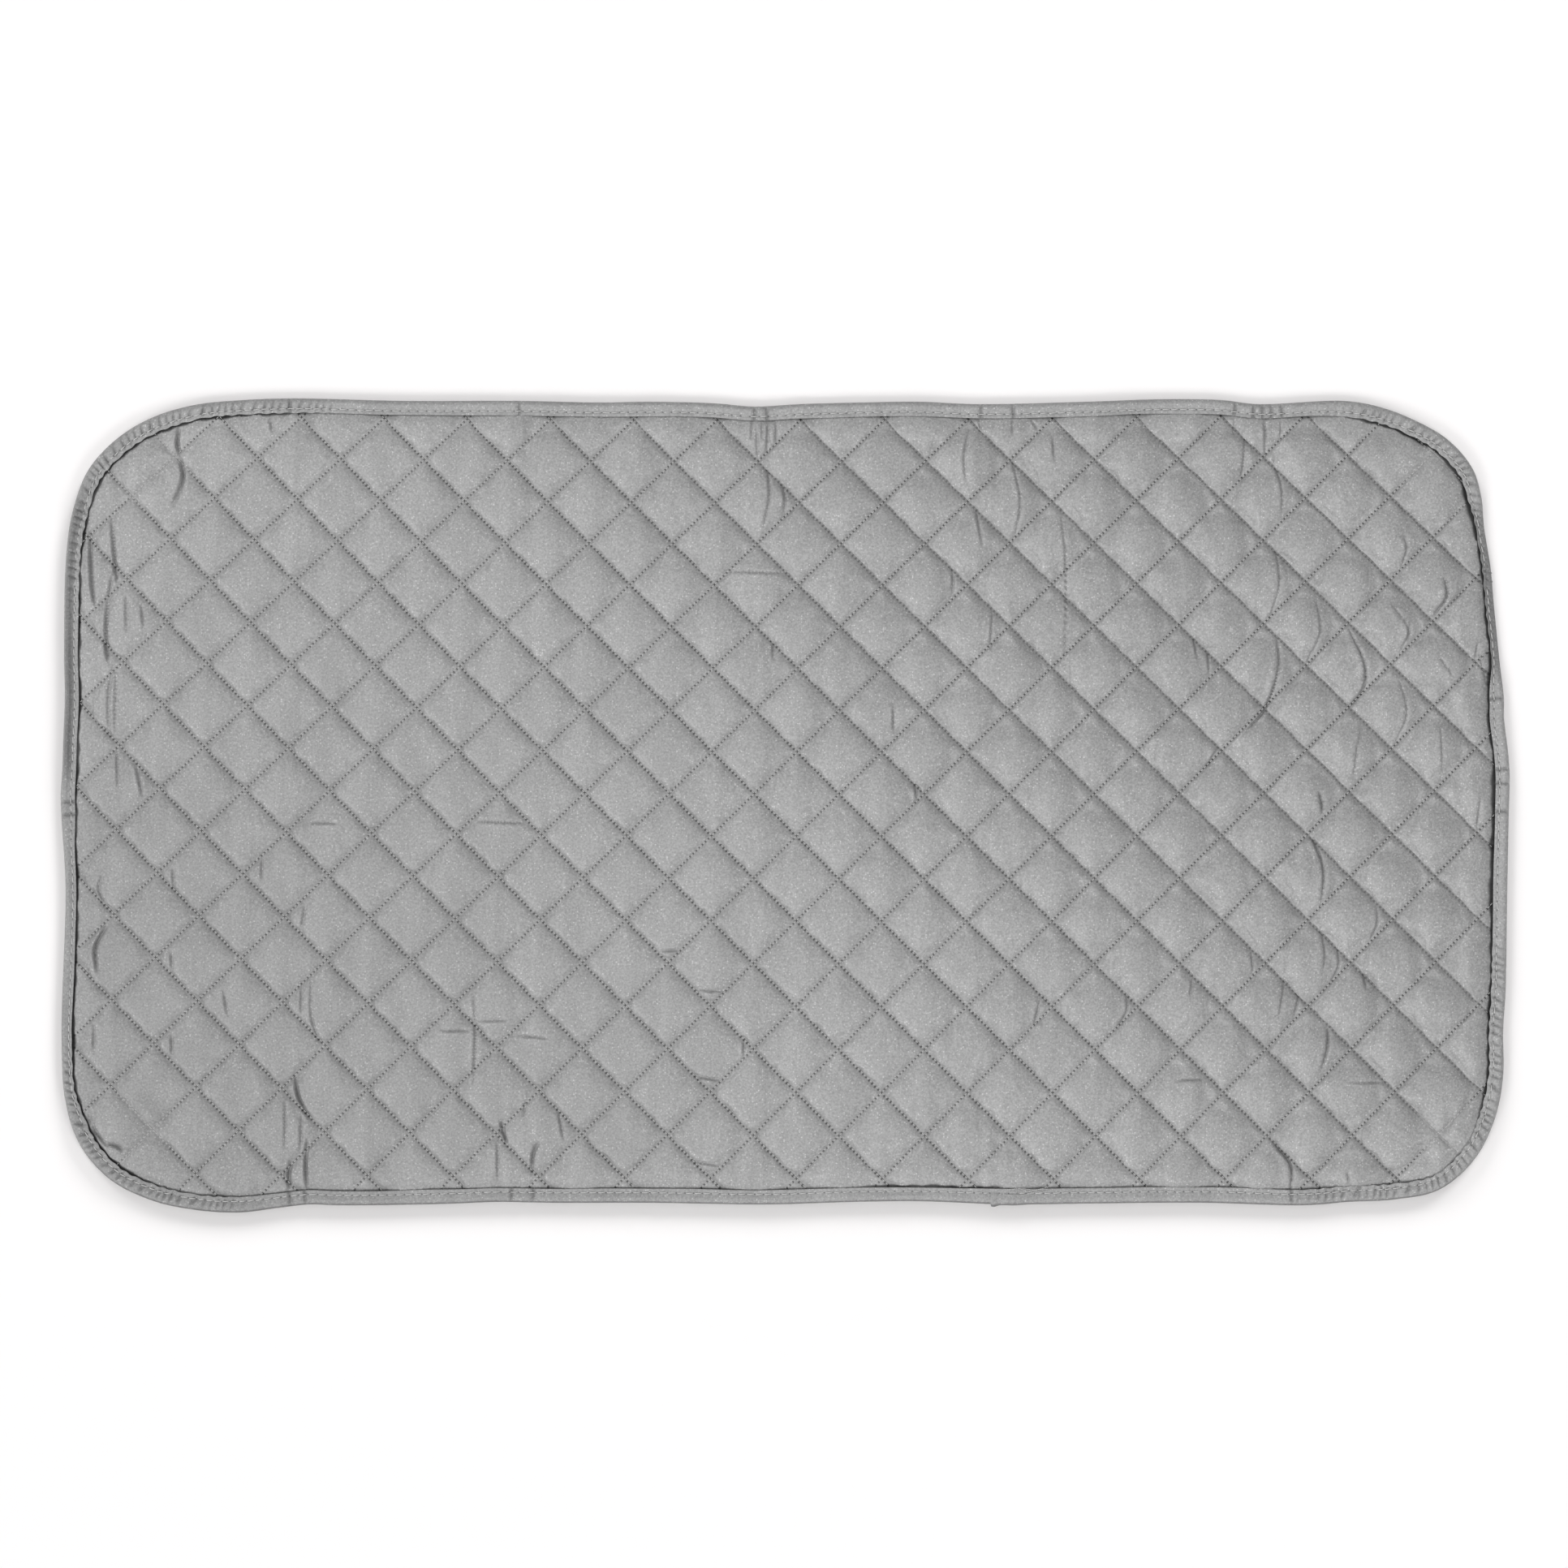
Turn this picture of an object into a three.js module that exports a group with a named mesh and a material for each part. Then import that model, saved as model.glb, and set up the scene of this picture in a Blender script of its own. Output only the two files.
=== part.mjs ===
// A quilted ironing pad that is laid on a table: a heat-reflecting cover over wadding, felt and a
// backing cloth, quilted in diamonds, bound with folded tape, with a flat magnet in each corner.
// Millimetres, +Z up, +X along the length. The origin is under the middle of the pad, on the table.
import * as THREE from 'three';
import { mergeVertices } from 'three/addons/utils/BufferGeometryUtils.js';

// Outline
const padLength = 825.5;
const padWidth = 463.5;
const cornerRadius = 75;
const longSideDraw = 1.5; // how far the long sides are drawn in at their middle

// Layers, from the table up
const backingThickness = 0.5;
const feltThickness = 2.4;
const squeezedWadding = 0.6; // thickness of the wadding under a line of stitches
const quiltLoft = 3.2; // rise of a diamond's crown above the stitches round it
const coverThickness = 0.5;

// Quilting: diamonds that stand on a corner, with one centred at the shift
const quiltDiagonal = 48;
const quiltShiftX = 5;
const quiltShiftY = 4;
const quiltThreadWidth = 0.6;
const quiltThreadThickness = 0.25;

// Binding: tape folded over the rim, and the thread that sews it down
const tapeReach = 9; // width of the tape on each face of the pad
const tapeThickness = 0.5;
const rimSlope = 4.5; // width over which the flat underside rises to the tape's lower lap
const seamThreadWidth = 0.8;
const seamThreadThickness = 0.25;
const seamSetback = 1.6; // from the tape's inner edge to the middle of the seam

// Magnets, each under a round patch with a sewn hem
const magnetDiameter = 25;
const magnetThickness = 1.5;
const pocketThickness = 0.4;
const pocketHem = 5;
const magnetMargin = 7.5; // from the rim's slope to the felt's hole

// Clearances
const layerGap = 0.3;
const threadGap = 0.1;

// Facets
const cornerSteps = 5;
const circleSides = 24;
const weldDistance = 1e-4;

// Finishes
const finishes = {
  backingCloth: { color: 0x8d8f91, roughness: 0.9, metalness: 0 },
  felt: { color: 0xc9c4b8, roughness: 0.95, metalness: 0 },
  waddingFibre: { color: 0xf0efea, roughness: 0.95, metalness: 0 },
  coverCloth: { color: 0xa3a4a5, roughness: 0.55, metalness: 0.35 },
  thread: { color: 0x77797b, roughness: 0.7, metalness: 0 },
  bindingTape: { color: 0x9a9b9d, roughness: 0.75, metalness: 0 },
  magnetPlating: { color: 0xb9bcc0, roughness: 0.3, metalness: 1 },
  pocketCloth: { color: 0xe4e2dc, roughness: 0.9, metalness: 0 },
};

// Insets from the outline
const edgeInset = tapeThickness + layerGap; // where the layers end, inside the tape's fold
const landInset = tapeReach + layerGap; // where the flat rim under the tape ends
const flatInset = landInset + rimSlope; // where the flat underside begins
const turnInset = tapeReach / 2; // where the quilting turns back, under the tape

// Heights
const rimLift = tapeThickness + layerGap;
const feltBottom = backingThickness + layerGap;
const feltTop = feltBottom + feltThickness;
const magnetBottom = backingThickness + layerGap;
const magnetTop = magnetBottom + magnetThickness;
const pocketCeiling = magnetTop + layerGap;
const pocketTop = pocketCeiling + pocketThickness;
const waddingBottom = Math.max(feltTop, pocketTop) + layerGap;
const waddingTop = waddingBottom + squeezedWadding;
const coverBottom = waddingTop + layerGap;
const coverTop = coverBottom + coverThickness;
const halfDiagonal = quiltDiagonal / 2;
const flankRun = halfDiagonal / Math.SQRT2; // from a line of stitches to a diamond's crown
const flankRise = (quiltThreadWidth / 2) * (quiltLoft / flankRun);
const threadPitch = quiltThreadThickness + threadGap;
const fallingThreadBottom = coverTop + flankRise + threadGap;
const risingThreadBottom = fallingThreadBottom + threadPitch;
const lapBottom = risingThreadBottom + threadPitch;
const bindingTop = lapBottom + tapeThickness;

// Magnet pockets, each on the diagonal of its corner
const magnetRadius = magnetDiameter / 2;
const pocketInside = magnetRadius + layerGap;
const pocketOutside = pocketInside + pocketThickness;
const pocketRadius = pocketOutside + pocketHem;
const feltHoleRadius = pocketRadius + layerGap;
const magnetCorners = {
  front_left: [-1, -1],
  front_right: [1, -1],
  back_left: [-1, 1],
  back_right: [1, 1],
};

function magnetPlace([sideX, sideY]) {
  const fromArcCentre = cornerRadius - (flatInset + magnetMargin + feltHoleRadius);
  const inward = cornerRadius - fromArcCentre * Math.SQRT1_2;
  return new THREE.Vector2(sideX * (padLength / 2 - inward), sideY * (padWidth / 2 - inward));
}

// The pad's outline moved in by an inset, anticlockwise from the middle of the front side
function outline(inset) {
  const halfLength = padLength / 2 - inset;
  const halfWidth = padWidth / 2 - inset;
  const radius = cornerRadius - inset;
  const points = [];
  for (const [quarter, [sideX, sideY]] of [[1, -1], [1, 1], [-1, 1], [-1, -1]].entries()) {
    if (sideX === sideY * -1) {
      points.push(new THREE.Vector2(0, sideY * (halfWidth - longSideDraw)));
    }
    for (let step = 0; step <= cornerSteps; step++) {
      const angle = (quarter - 1 + step / cornerSteps) * (Math.PI / 2);
      points.push(new THREE.Vector2(
        sideX * (halfLength - radius) + radius * Math.cos(angle),
        sideY * (halfWidth - radius) + radius * Math.sin(angle),
      ));
    }
  }
  return points;
}

function atHeight(points, z) {
  return points.map((point) => new THREE.Vector3(point.x, point.y, z));
}

function ringAt(inset, z) {
  return atHeight(outline(inset), z);
}

function circle(centre, radius) {
  return Array.from({ length: circleSides }, (_, side) => {
    const angle = (side / circleSides) * 2 * Math.PI;
    return new THREE.Vector2(
      centre.x + radius * Math.cos(angle),
      centre.y + radius * Math.sin(angle),
    );
  });
}

// Faces between rings of equal length: out along the underside, up the wall, in along the top
function bands(rings) {
  const faces = [];
  for (let level = 0; level + 1 < rings.length; level++) {
    const here = rings[level];
    const above = rings[level + 1];
    here.forEach((point, index) => {
      const next = (index + 1) % here.length;
      faces.push([point, here[next], above[next]], [point, above[next], above[index]]);
    });
  }
  return faces;
}

// A flat face that looks up, with its holes left open
function flatFace(contour, holes, z) {
  const points = atHeight([contour, ...holes].flat(), z);
  return THREE.ShapeUtils.triangulateShape(contour, holes).map((corners) => {
    const [a, b, c] = corners.map((corner) => points[corner]);
    const turn = (b.x - a.x) * (c.y - a.y) - (b.y - a.y) * (c.x - a.x);
    return turn > 0 ? [a, b, c] : [a, c, b];
  });
}

function turnedOver(faces) {
  return faces.map(([a, b, c]) => [a, c, b]);
}

function solid(faces) {
  const geometry = mergeVertices(new THREE.BufferGeometry().setFromPoints(faces.flat()), weldDistance);
  geometry.computeVertexNormals();
  return geometry;
}

// A closed section of [inset, height] corners taken round the rim
function rimRing(section) {
  const rings = section.map(([inset, z]) => ringAt(inset, z));
  return solid(bands([...rings, rings[0]]));
}

// A turned piece, from a profile of [radius, height] corners that starts and ends on the axis
function turned(profile) {
  const points = profile.map(([radius, z]) => new THREE.Vector2(radius, z));
  return new THREE.LatheGeometry(points, circleSides).rotateX(Math.PI / 2);
}

// Quilting grid: diamonds stand where column and row add up to an even number, stitches cross between
function gridPoint([column, row]) {
  return new THREE.Vector2(quiltShiftX + column * halfDiagonal, quiltShiftY + row * halfDiagonal);
}

function insideRim(point) {
  const halfLength = padLength / 2 - landInset;
  const halfWidth = padWidth / 2 - landInset - longSideDraw;
  const radius = cornerRadius - landInset;
  const overX = Math.abs(point.x) - (halfLength - radius);
  const overY = Math.abs(point.y) - (halfWidth - radius);
  if (overX <= 0 || overY <= 0) {
    return overX <= radius && overY <= radius;
  }
  const chordDepth = Math.cos(Math.PI / (4 * cornerSteps));
  return Math.hypot(overX, overY) <= radius * chordDepth;
}

function wholeDiamonds() {
  const columns = Math.ceil(padLength / quiltDiagonal);
  const rows = Math.ceil(padWidth / quiltDiagonal);
  const diamonds = [];
  for (let column = -columns; column <= columns; column++) {
    for (let row = -rows; row <= rows; row++) {
      const corners = [[column + 1, row], [column, row + 1], [column - 1, row], [column, row - 1]];
      if ((column + row) % 2 === 0 && corners.every((corner) => insideRim(gridPoint(corner)))) {
        diamonds.push({ centre: [column, row], corners });
      }
    }
  }
  return diamonds;
}

// Edges that belong to one diamond only, linked into a loop
function borderLoop(diamonds) {
  const edges = new Map();
  for (const { corners } of diamonds) {
    corners.forEach((from, side) => {
      const to = corners[(side + 1) % corners.length];
      const shared = `${to} ${from}`;
      if (!edges.delete(shared)) {
        edges.set(`${from} ${to}`, { from, to });
      }
    });
  }
  const nextCorner = new Map([...edges.values()].map(({ from, to }) => [String(from), to]));
  const [start] = edges.values();
  const loop = [];
  let corner = start.from;
  do {
    loop.push(gridPoint(corner));
    corner = nextCorner.get(String(corner));
  } while (String(corner) !== String(start.from));
  return loop;
}

// The quilted surface, facing up: four slopes to each diamond and a flat border out to the edge
function quiltedFace(z) {
  const diamonds = wholeDiamonds();
  const faces = [];
  for (const { centre, corners } of diamonds) {
    const [crown] = atHeight([gridPoint(centre)], z + quiltLoft);
    const base = atHeight(corners.map(gridPoint), z);
    base.forEach((corner, side) => faces.push([crown, corner, base[(side + 1) % base.length]]));
  }
  return [...faces, ...flatFace(outline(edgeInset), [borderLoop(diamonds)], z)];
}

function quiltedCover() {
  const wall = bands([ringAt(edgeInset, coverBottom), ringAt(edgeInset, coverTop)]);
  return solid([...turnedOver(quiltedFace(coverBottom)), ...wall, ...quiltedFace(coverTop)]);
}

function quiltedWadding() {
  const edge = outline(edgeInset);
  const wall = bands([atHeight(edge, waddingBottom), atHeight(edge, waddingTop)]);
  return solid([...turnedOver(flatFace(edge, [], waddingBottom)), ...wall, ...quiltedFace(waddingTop)]);
}

// Dense felt, thinner over the tape's lower lap, with a hole for each magnet's pocket
function pressedFelt() {
  const holes = Object.values(magnetCorners).map((corner) => circle(magnetPlace(corner), feltHoleRadius));
  const sides = bands([
    ringAt(flatInset, feltBottom),
    ringAt(landInset, feltBottom + rimLift),
    ringAt(edgeInset, feltBottom + rimLift),
    ringAt(edgeInset, feltTop),
  ]);
  const bores = holes.flatMap((hole) => bands([atHeight(hole, feltTop), atHeight(hole, feltBottom)]));
  const underside = turnedOver(flatFace(outline(flatInset), holes, feltBottom));
  return solid([...underside, ...sides, ...bores, ...flatFace(outline(edgeInset), holes, feltTop)]);
}

// The backing lies on the table and rises at the rim to make room for the tape
function pressedBacking() {
  const sides = bands([
    ringAt(flatInset, 0),
    ringAt(landInset, rimLift),
    ringAt(edgeInset, rimLift),
    ringAt(edgeInset, rimLift + backingThickness),
    ringAt(landInset, rimLift + backingThickness),
    ringAt(flatInset, backingThickness),
  ]);
  const middle = outline(flatInset);
  const underside = turnedOver(flatFace(middle, [], 0));
  return solid([...underside, ...sides, ...flatFace(middle, [], backingThickness)]);
}

function foldedTape() {
  return rimRing([
    [tapeReach, 0],
    [tapeThickness, 0],
    [0, tapeThickness],
    [0, bindingTop - tapeThickness],
    [tapeThickness, bindingTop],
    [tapeReach, bindingTop],
    [tapeReach, lapBottom],
    [tapeThickness, lapBottom],
    [tapeThickness, tapeThickness],
    [tapeReach, tapeThickness],
  ]);
}

function bindingSeam() {
  const outer = tapeReach - seamSetback - seamThreadWidth / 2;
  const inner = outer + seamThreadWidth;
  const bottom = bindingTop + threadGap;
  const top = bottom + seamThreadThickness;
  return rimRing([[inner, bottom], [outer, bottom], [outer, top], [inner, top]]);
}

// Where the line y = slope * x + rise crosses the outline, from left to right
function chordOf(slope, rise, contour) {
  const offset = (point) => point.y - slope * point.x - rise;
  const crossings = [];
  contour.forEach((from, index) => {
    const to = contour[(index + 1) % contour.length];
    if (offset(from) < 0 !== offset(to) < 0) {
      crossings.push(from.clone().lerp(to, offset(from) / (offset(from) - offset(to))));
    }
  });
  return crossings.sort((a, b) => a.x - b.x);
}

// One thread's path: line after line, turning back under the tape
function quiltingPath(slope) {
  const contour = outline(turnInset);
  const throughMiddle = quiltShiftY + halfDiagonal - slope * quiltShiftX;
  const reach = Math.ceil((padLength + padWidth) / 2 / quiltDiagonal);
  const path = [];
  let backwards = false;
  for (let line = -reach; line <= reach; line++) {
    const chord = chordOf(slope, throughMiddle + line * quiltDiagonal, contour);
    if (chord.length > 1 && chord[0].distanceTo(chord.at(-1)) > halfDiagonal) {
      const ends = [chord[0], chord.at(-1)];
      path.push(...(backwards ? ends.reverse() : ends));
      backwards = !backwards;
    }
  }
  return path;
}

// A flat ribbon of thread along a path, with mitred turns
function quiltThread(slope, bottom) {
  const path = quiltingPath(slope);
  const sideways = (from, to) => {
    const run = to.clone().sub(from).normalize();
    return new THREE.Vector2(-run.y, run.x);
  };
  const offsets = path.map((point, index) => {
    const before = sideways(path[Math.max(index - 1, 0)], path[Math.max(index, 1)]);
    const last = path.length - 1;
    const after = sideways(path[Math.min(index, last - 1)], path[Math.min(index + 1, last)]);
    const mitre = quiltThreadWidth / 2 / (1 + before.dot(after));
    return before.add(after).multiplyScalar(mitre);
  });
  const left = path.map((point, index) => point.clone().add(offsets[index]));
  const right = path.map((point, index) => point.clone().sub(offsets[index]));
  const ribbon = new THREE.Shape([...left, ...right.reverse()]);
  const thread = new THREE.ExtrudeGeometry(ribbon, { depth: quiltThreadThickness, bevelEnabled: false });
  return thread.translate(0, 0, bottom);
}

function magnet() {
  return turned([[0, magnetBottom], [magnetRadius, magnetBottom], [magnetRadius, magnetTop], [0, magnetTop]]);
}

// A round patch raised over its magnet, open below, with its hem on the backing
function magnetPocket() {
  const hemTop = magnetBottom + pocketThickness;
  return turned([
    [0, pocketCeiling],
    [pocketInside, pocketCeiling],
    [pocketInside, magnetBottom],
    [pocketRadius, magnetBottom],
    [pocketRadius, hemTop],
    [pocketOutside, hemTop],
    [pocketOutside, pocketTop],
    [0, pocketTop],
  ]);
}

const pad = new THREE.Group();
pad.name = 'ironing_pad';

function addPiece(name, geometry, finish, place = new THREE.Vector2()) {
  const piece = new THREE.Mesh(geometry, new THREE.MeshStandardMaterial(finish));
  piece.name = name;
  piece.position.set(place.x, place.y, 0);
  pad.add(piece);
}

addPiece('backing', pressedBacking(), finishes.backingCloth);
addPiece('heat_felt', pressedFelt(), finishes.felt);
addPiece('wadding', quiltedWadding(), finishes.waddingFibre);
addPiece('top_cover', quiltedCover(), finishes.coverCloth);
addPiece('falling_quilt_thread', quiltThread(-1, fallingThreadBottom), finishes.thread);
addPiece('rising_quilt_thread', quiltThread(1, risingThreadBottom), finishes.thread);
addPiece('edge_binding', foldedTape(), finishes.bindingTape);
addPiece('binding_seam_thread', bindingSeam(), finishes.thread);
for (const [name, corner] of Object.entries(magnetCorners)) {
  addPiece(`magnet_${name}`, magnet(), finishes.magnetPlating, magnetPlace(corner));
  addPiece(`magnet_pocket_${name}`, magnetPocket(), finishes.pocketCloth, magnetPlace(corner));
}

export default pad;
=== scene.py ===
"""An ironing pad lying flat on a pale floor, seen from straight above.

A silver-grey cover is quilted in diamonds over wadding, and one folded tape binds the rim. Lengths are in
metres, and places read off the photograph are given in its pixels.
"""
import math

import bmesh
import bpy
import numpy as np
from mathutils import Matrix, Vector, kdtree


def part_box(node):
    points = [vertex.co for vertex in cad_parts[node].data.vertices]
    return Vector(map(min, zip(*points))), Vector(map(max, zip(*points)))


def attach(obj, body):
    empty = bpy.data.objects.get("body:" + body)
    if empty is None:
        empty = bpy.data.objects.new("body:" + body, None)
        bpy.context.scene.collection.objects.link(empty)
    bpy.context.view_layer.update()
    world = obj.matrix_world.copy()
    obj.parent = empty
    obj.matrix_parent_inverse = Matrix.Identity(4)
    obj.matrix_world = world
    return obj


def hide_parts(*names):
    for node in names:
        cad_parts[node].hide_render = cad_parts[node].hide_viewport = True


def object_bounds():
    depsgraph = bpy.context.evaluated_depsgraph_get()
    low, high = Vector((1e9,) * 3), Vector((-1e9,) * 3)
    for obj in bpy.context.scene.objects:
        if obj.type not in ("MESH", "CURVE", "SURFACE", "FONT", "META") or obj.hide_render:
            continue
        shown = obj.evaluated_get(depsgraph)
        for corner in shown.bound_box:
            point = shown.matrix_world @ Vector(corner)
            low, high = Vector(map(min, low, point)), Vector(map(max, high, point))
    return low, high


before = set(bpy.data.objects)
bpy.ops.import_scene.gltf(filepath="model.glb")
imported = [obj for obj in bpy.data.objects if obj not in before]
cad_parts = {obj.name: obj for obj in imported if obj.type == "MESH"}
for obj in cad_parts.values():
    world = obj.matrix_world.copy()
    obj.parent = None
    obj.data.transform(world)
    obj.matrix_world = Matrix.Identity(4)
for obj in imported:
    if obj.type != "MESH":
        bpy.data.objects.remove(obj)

cad_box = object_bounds()
MM = 0.001
rng = np.random.default_rng(7)

# The photograph's scale and the pad's place in it
IMAGE_SIDE = 1932
PIXEL = 0.4629 * MM
PAD_CENTRE = (968.5, 990.0)
CAMERA_DISTANCE = 2.2


def on_pad(pixels):
    """Places on the pad, in metres, of points given in the photograph's pixels."""
    return (np.asarray(pixels, dtype=float) - PAD_CENTRE) * (PIXEL, -PIXEL)


def ease(low, high, value):
    """0 below low, 1 above high, and a smooth step between."""
    t = np.clip((value - low) / (high - low), 0, 1)
    return t * t * (3 - 2 * t)


def bell(value, middle, width):
    """1 in the middle, falling off on both sides."""
    return np.exp(-(((value - middle) / width) ** 2))


# The rim: the outer edge of the binding, clockwise from the middle of the left side
RIM_PIXELS = (
    (75, 980), (77, 945), (78, 912), (80, 860), (79, 800), (82, 680), (90, 629), (109, 579), (145, 540),
    (189, 514), (240, 499), (300, 493), (360, 491), (500, 494), (640, 494), (740, 496), (800, 495),
    (880, 497), (930, 501), (985, 498), (1060, 496), (1130, 495), (1205, 498), (1340, 495), (1430, 492),
    (1505, 493), (1550, 498), (1655, 494), (1698, 501), (1741, 517), (1784, 542), (1814, 577),
    (1825, 612), (1829, 650), (1837, 700), (1841, 745), (1848, 815), (1853, 862), (1853, 884),
    (1858, 926), (1860, 955), (1859, 1000), (1857, 1100), (1855, 1220), (1852, 1270), (1852, 1325),
    (1842, 1378), (1817, 1428), (1773, 1466), (1717, 1478), (1660, 1481), (1610, 1485), (1480, 1482),
    (1340, 1483), (1240, 1484), (1130, 1480), (1050, 1481), (950, 1484), (800, 1482), (680, 1482),
    (610, 1481), (560, 1483), (460, 1485), (410, 1485), (382, 1484), (345, 1488), (295, 1494),
    (235, 1490), (184, 1478), (134, 1452), (97, 1408), (80, 1353), (76, 1280), (77, 1225), (81, 1110),
    (80, 1068), (76, 1010),
)
RIM_LEVEL = 3.0 * MM
# The rim lies lower than the top of the cover, so that the camera sees it a little smaller
RIM_SCALE = 1 + (cad_box[1].z - RIM_LEVEL) / CAMERA_DISTANCE
RIM_COUNT = 4960


def spline(points, steps, closed):
    """A smooth curve through the points, its knots spaced by the root of each chord against overshoot."""
    points = np.asarray(points, dtype=float)
    if not closed:
        points = np.vstack([2 * points[0] - points[1], points, 2 * points[-1] - points[-2]])
    shifted = (np.roll(points, -k, axis=0)[:, None] for k in range(4))
    p0, p1, p2, p3 = (p if closed else p[:-3] for p in shifted)

    def knot(a, b):
        return np.sqrt(np.linalg.norm(b - a, axis=2, keepdims=True))

    def mix(a, b, start, stop):
        return ((stop - t) * a + (t - start) * b) / (stop - start)

    t1 = knot(p0, p1)
    t2 = t1 + knot(p1, p2)
    t3 = t2 + knot(p2, p3)
    t = t1 + (t2 - t1) * np.linspace(0, 1, steps, endpoint=False)[None, :, None]
    before = mix(mix(p0, p1, 0, t1), mix(p1, p2, t1, t2), 0, t2)
    after = mix(mix(p1, p2, t1, t2), mix(p2, p3, t2, t3), t1, t3)
    curve = mix(before, after, t1, t2).reshape(-1, points.shape[1])
    return curve if closed else np.vstack([curve, points[-2]])


def evenly(loop, count):
    """A closed loop cut into equal lengths, and its whole length."""
    ring = np.vstack([loop, loop[:1]])
    reach = np.concatenate([[0], np.cumsum(np.linalg.norm(np.diff(ring, axis=0), axis=1))])
    at = np.linspace(0, reach[-1], count, endpoint=False)
    return np.stack([np.interp(at, reach, ring[:, k]) for k in range(2)], axis=1), reach[-1]


def flat_tree(places):
    """A search tree of places on the pad."""
    tree = kdtree.KDTree(len(places))
    for index, place in enumerate(places):
        tree.insert((place[0], place[1], 0), index)
    tree.balance()
    return tree


rim, rim_length = evenly(spline(RIM_SCALE * on_pad(RIM_PIXELS), steps=24, closed=True), RIM_COUNT)
along_rim = np.roll(rim, -2, axis=0) - np.roll(rim, 2, axis=0)
along_rim /= np.linalg.norm(along_rim, axis=1, keepdims=True)
inward = np.stack([along_rim[:, 1], -along_rim[:, 0]], axis=1)
rim_step = rim_length / RIM_COUNT
rim_run = np.arange(RIM_COUNT) * rim_step
rim_tree = flat_tree(rim)


def nearest_rim(x, y):
    """The nearest rim point's number, and how far inside the rim each place lies."""
    near = np.array([rim_tree.find((px, py, 0))[1] for px, py in zip(x, y)], dtype=int)
    inset = (x - rim[near, 0]) * inward[near, 0] + (y - rim[near, 1]) * inward[near, 1]
    return near, inset


def rim_index(pixel):
    """The number of the rim point nearest to a pixel."""
    return np.hypot(*(rim - on_pad(pixel)).T).argmin()


def rim_span(first, last, fade=30 * MM):
    """1 on the rim from one pixel clockwise to another, fading to 0 past both ends."""
    start, stop = rim_index(first), rim_index(last)
    ahead = (np.arange(RIM_COUNT) - start) % RIM_COUNT
    past = np.minimum(ahead - (stop - start) % RIM_COUNT, RIM_COUNT - ahead)
    return 1 - ease(0, fade, np.maximum(past, 0) * rim_step)


def rim_spans(spans, **fade):
    """The sum of several spans of the rim."""
    return sum(rim_span(*ends, **fade) for ends in spans)


# The tape's width as seen from above, with the spans where it is narrower or wider
TAPE_REACH = 9 * MM
PLAIN_TAPE = 8.4 * MM
LEFT_SPAN = ((82, 1335), (82, 1060))
LEFT_NARROWING = 1.9 * MM
TILTED_SPAN = ((1829, 655), (1847, 805))
TILTED_NARROWING = 3.4 * MM
WIDE_SPANS = (
    ((95, 615), (200, 512)), ((1660, 496), (1795, 550)), ((1845, 1370), (1240, 1482)),
    ((285, 1490), (90, 1390)),
)
WIDENING = 0.8 * MM
tilted = rim_span(*TILTED_SPAN, fade=25 * MM)
tape_width = PLAIN_TAPE - LEFT_NARROWING * rim_span(*LEFT_SPAN) - TILTED_NARROWING * tilted
tape_width += WIDENING * rim_spans(WIDE_SPANS)

# Painted shadow in the gap along the tape, with the spans where it is darker
DARK_GAP_SPANS = (((150, 1458), (330, 492)), ((1700, 500), (1850, 1340)), ((1205, 1480), (1120, 1479)))
LEAST_GAP_SHADOW = 0.45
GAP_SHADOW_WIDTH = 2.0 * MM
# Spans where the painted shadow in the gap is wider
WIDE_SHADOW_SPANS = (((1795, 550), (1829, 655)), ((1860, 955), (1859, 1000)), ((1858, 1040), (1856, 1125)))
WIDE_GAP_SHADOW = 1.4 * MM
gaping = LEAST_GAP_SHADOW + (1 - LEAST_GAP_SHADOW) * np.clip(rim_spans(DARK_GAP_SPANS), 0, 1)
gap_ripple = 0.25 * (np.sin(rim_run / (5 * MM)) + np.sin(rim_run / (1.9 * MM) + 2))
gap_shadow_width = GAP_SHADOW_WIDTH * gaping * (1 + gap_ripple) + WIDE_GAP_SHADOW * rim_spans(WIDE_SHADOW_SPANS, fade=8 * MM)

# The quilting: whole numbers of fall and rise are the two sets of stitched lines
QUILT = 48 * MM
QUILT_CENTRE = (5 * MM, 4 * MM)
SIDE = QUILT / math.sqrt(2)
STITCHES_A_SIDE = 14
STITCH = SIDE / STITCHES_A_SIDE
LATTICE_REACH = 14
FIRST_FALL = (QUILT_CENTRE[0] + QUILT_CENTRE[1]) / QUILT + 0.5
FIRST_RISE = (QUILT_CENTRE[0] - QUILT_CENTRE[1]) / QUILT - 0.5
SEAM_CROWDING = 0.5
GRID_MARGIN = 5 * MM
# How far the real lines have crept, in diamonds, at three places along the pad in three rows
CREEP_REACH = (347 * MM, 180 * MM)
FALL_CREEP = ((0.17, 0.06, 0.16), (0.05, 0.06, 0.17), (-0.09, -0.01, 0.13))
RISE_CREEP = ((0.05, 0.06, 0.01), (-0.15, -0.01, 0.04), (-0.17, 0.04, 0.16))


def creep(table, x, y):
    """The lines' creep at a place, by parabolas through the measured places."""
    u = x / CREEP_REACH[0]
    v = y / CREEP_REACH[1]
    across = (u * (u - 1) / 2, 1 - u * u, u * (u + 1) / 2)
    down = (v * (v + 1) / 2, 1 - v * v, v * (v - 1) / 2)
    return sum(down[i] * across[j] * table[i][j] for i in range(3) for j in range(3))


def place_of(fall, rise):
    """The place on the pad of a lattice point, by eight corrections for the creep."""
    x = np.zeros(np.broadcast(fall, rise).shape)
    y = np.zeros_like(x)
    for _ in range(8):
        total = QUILT * (fall + FIRST_FALL + creep(FALL_CREEP, x, y))
        difference = QUILT * (rise + FIRST_RISE + creep(RISE_CREEP, x, y))
        x = (total + difference) / 2
        y = (total - difference) / 2
    return x, y


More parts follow.
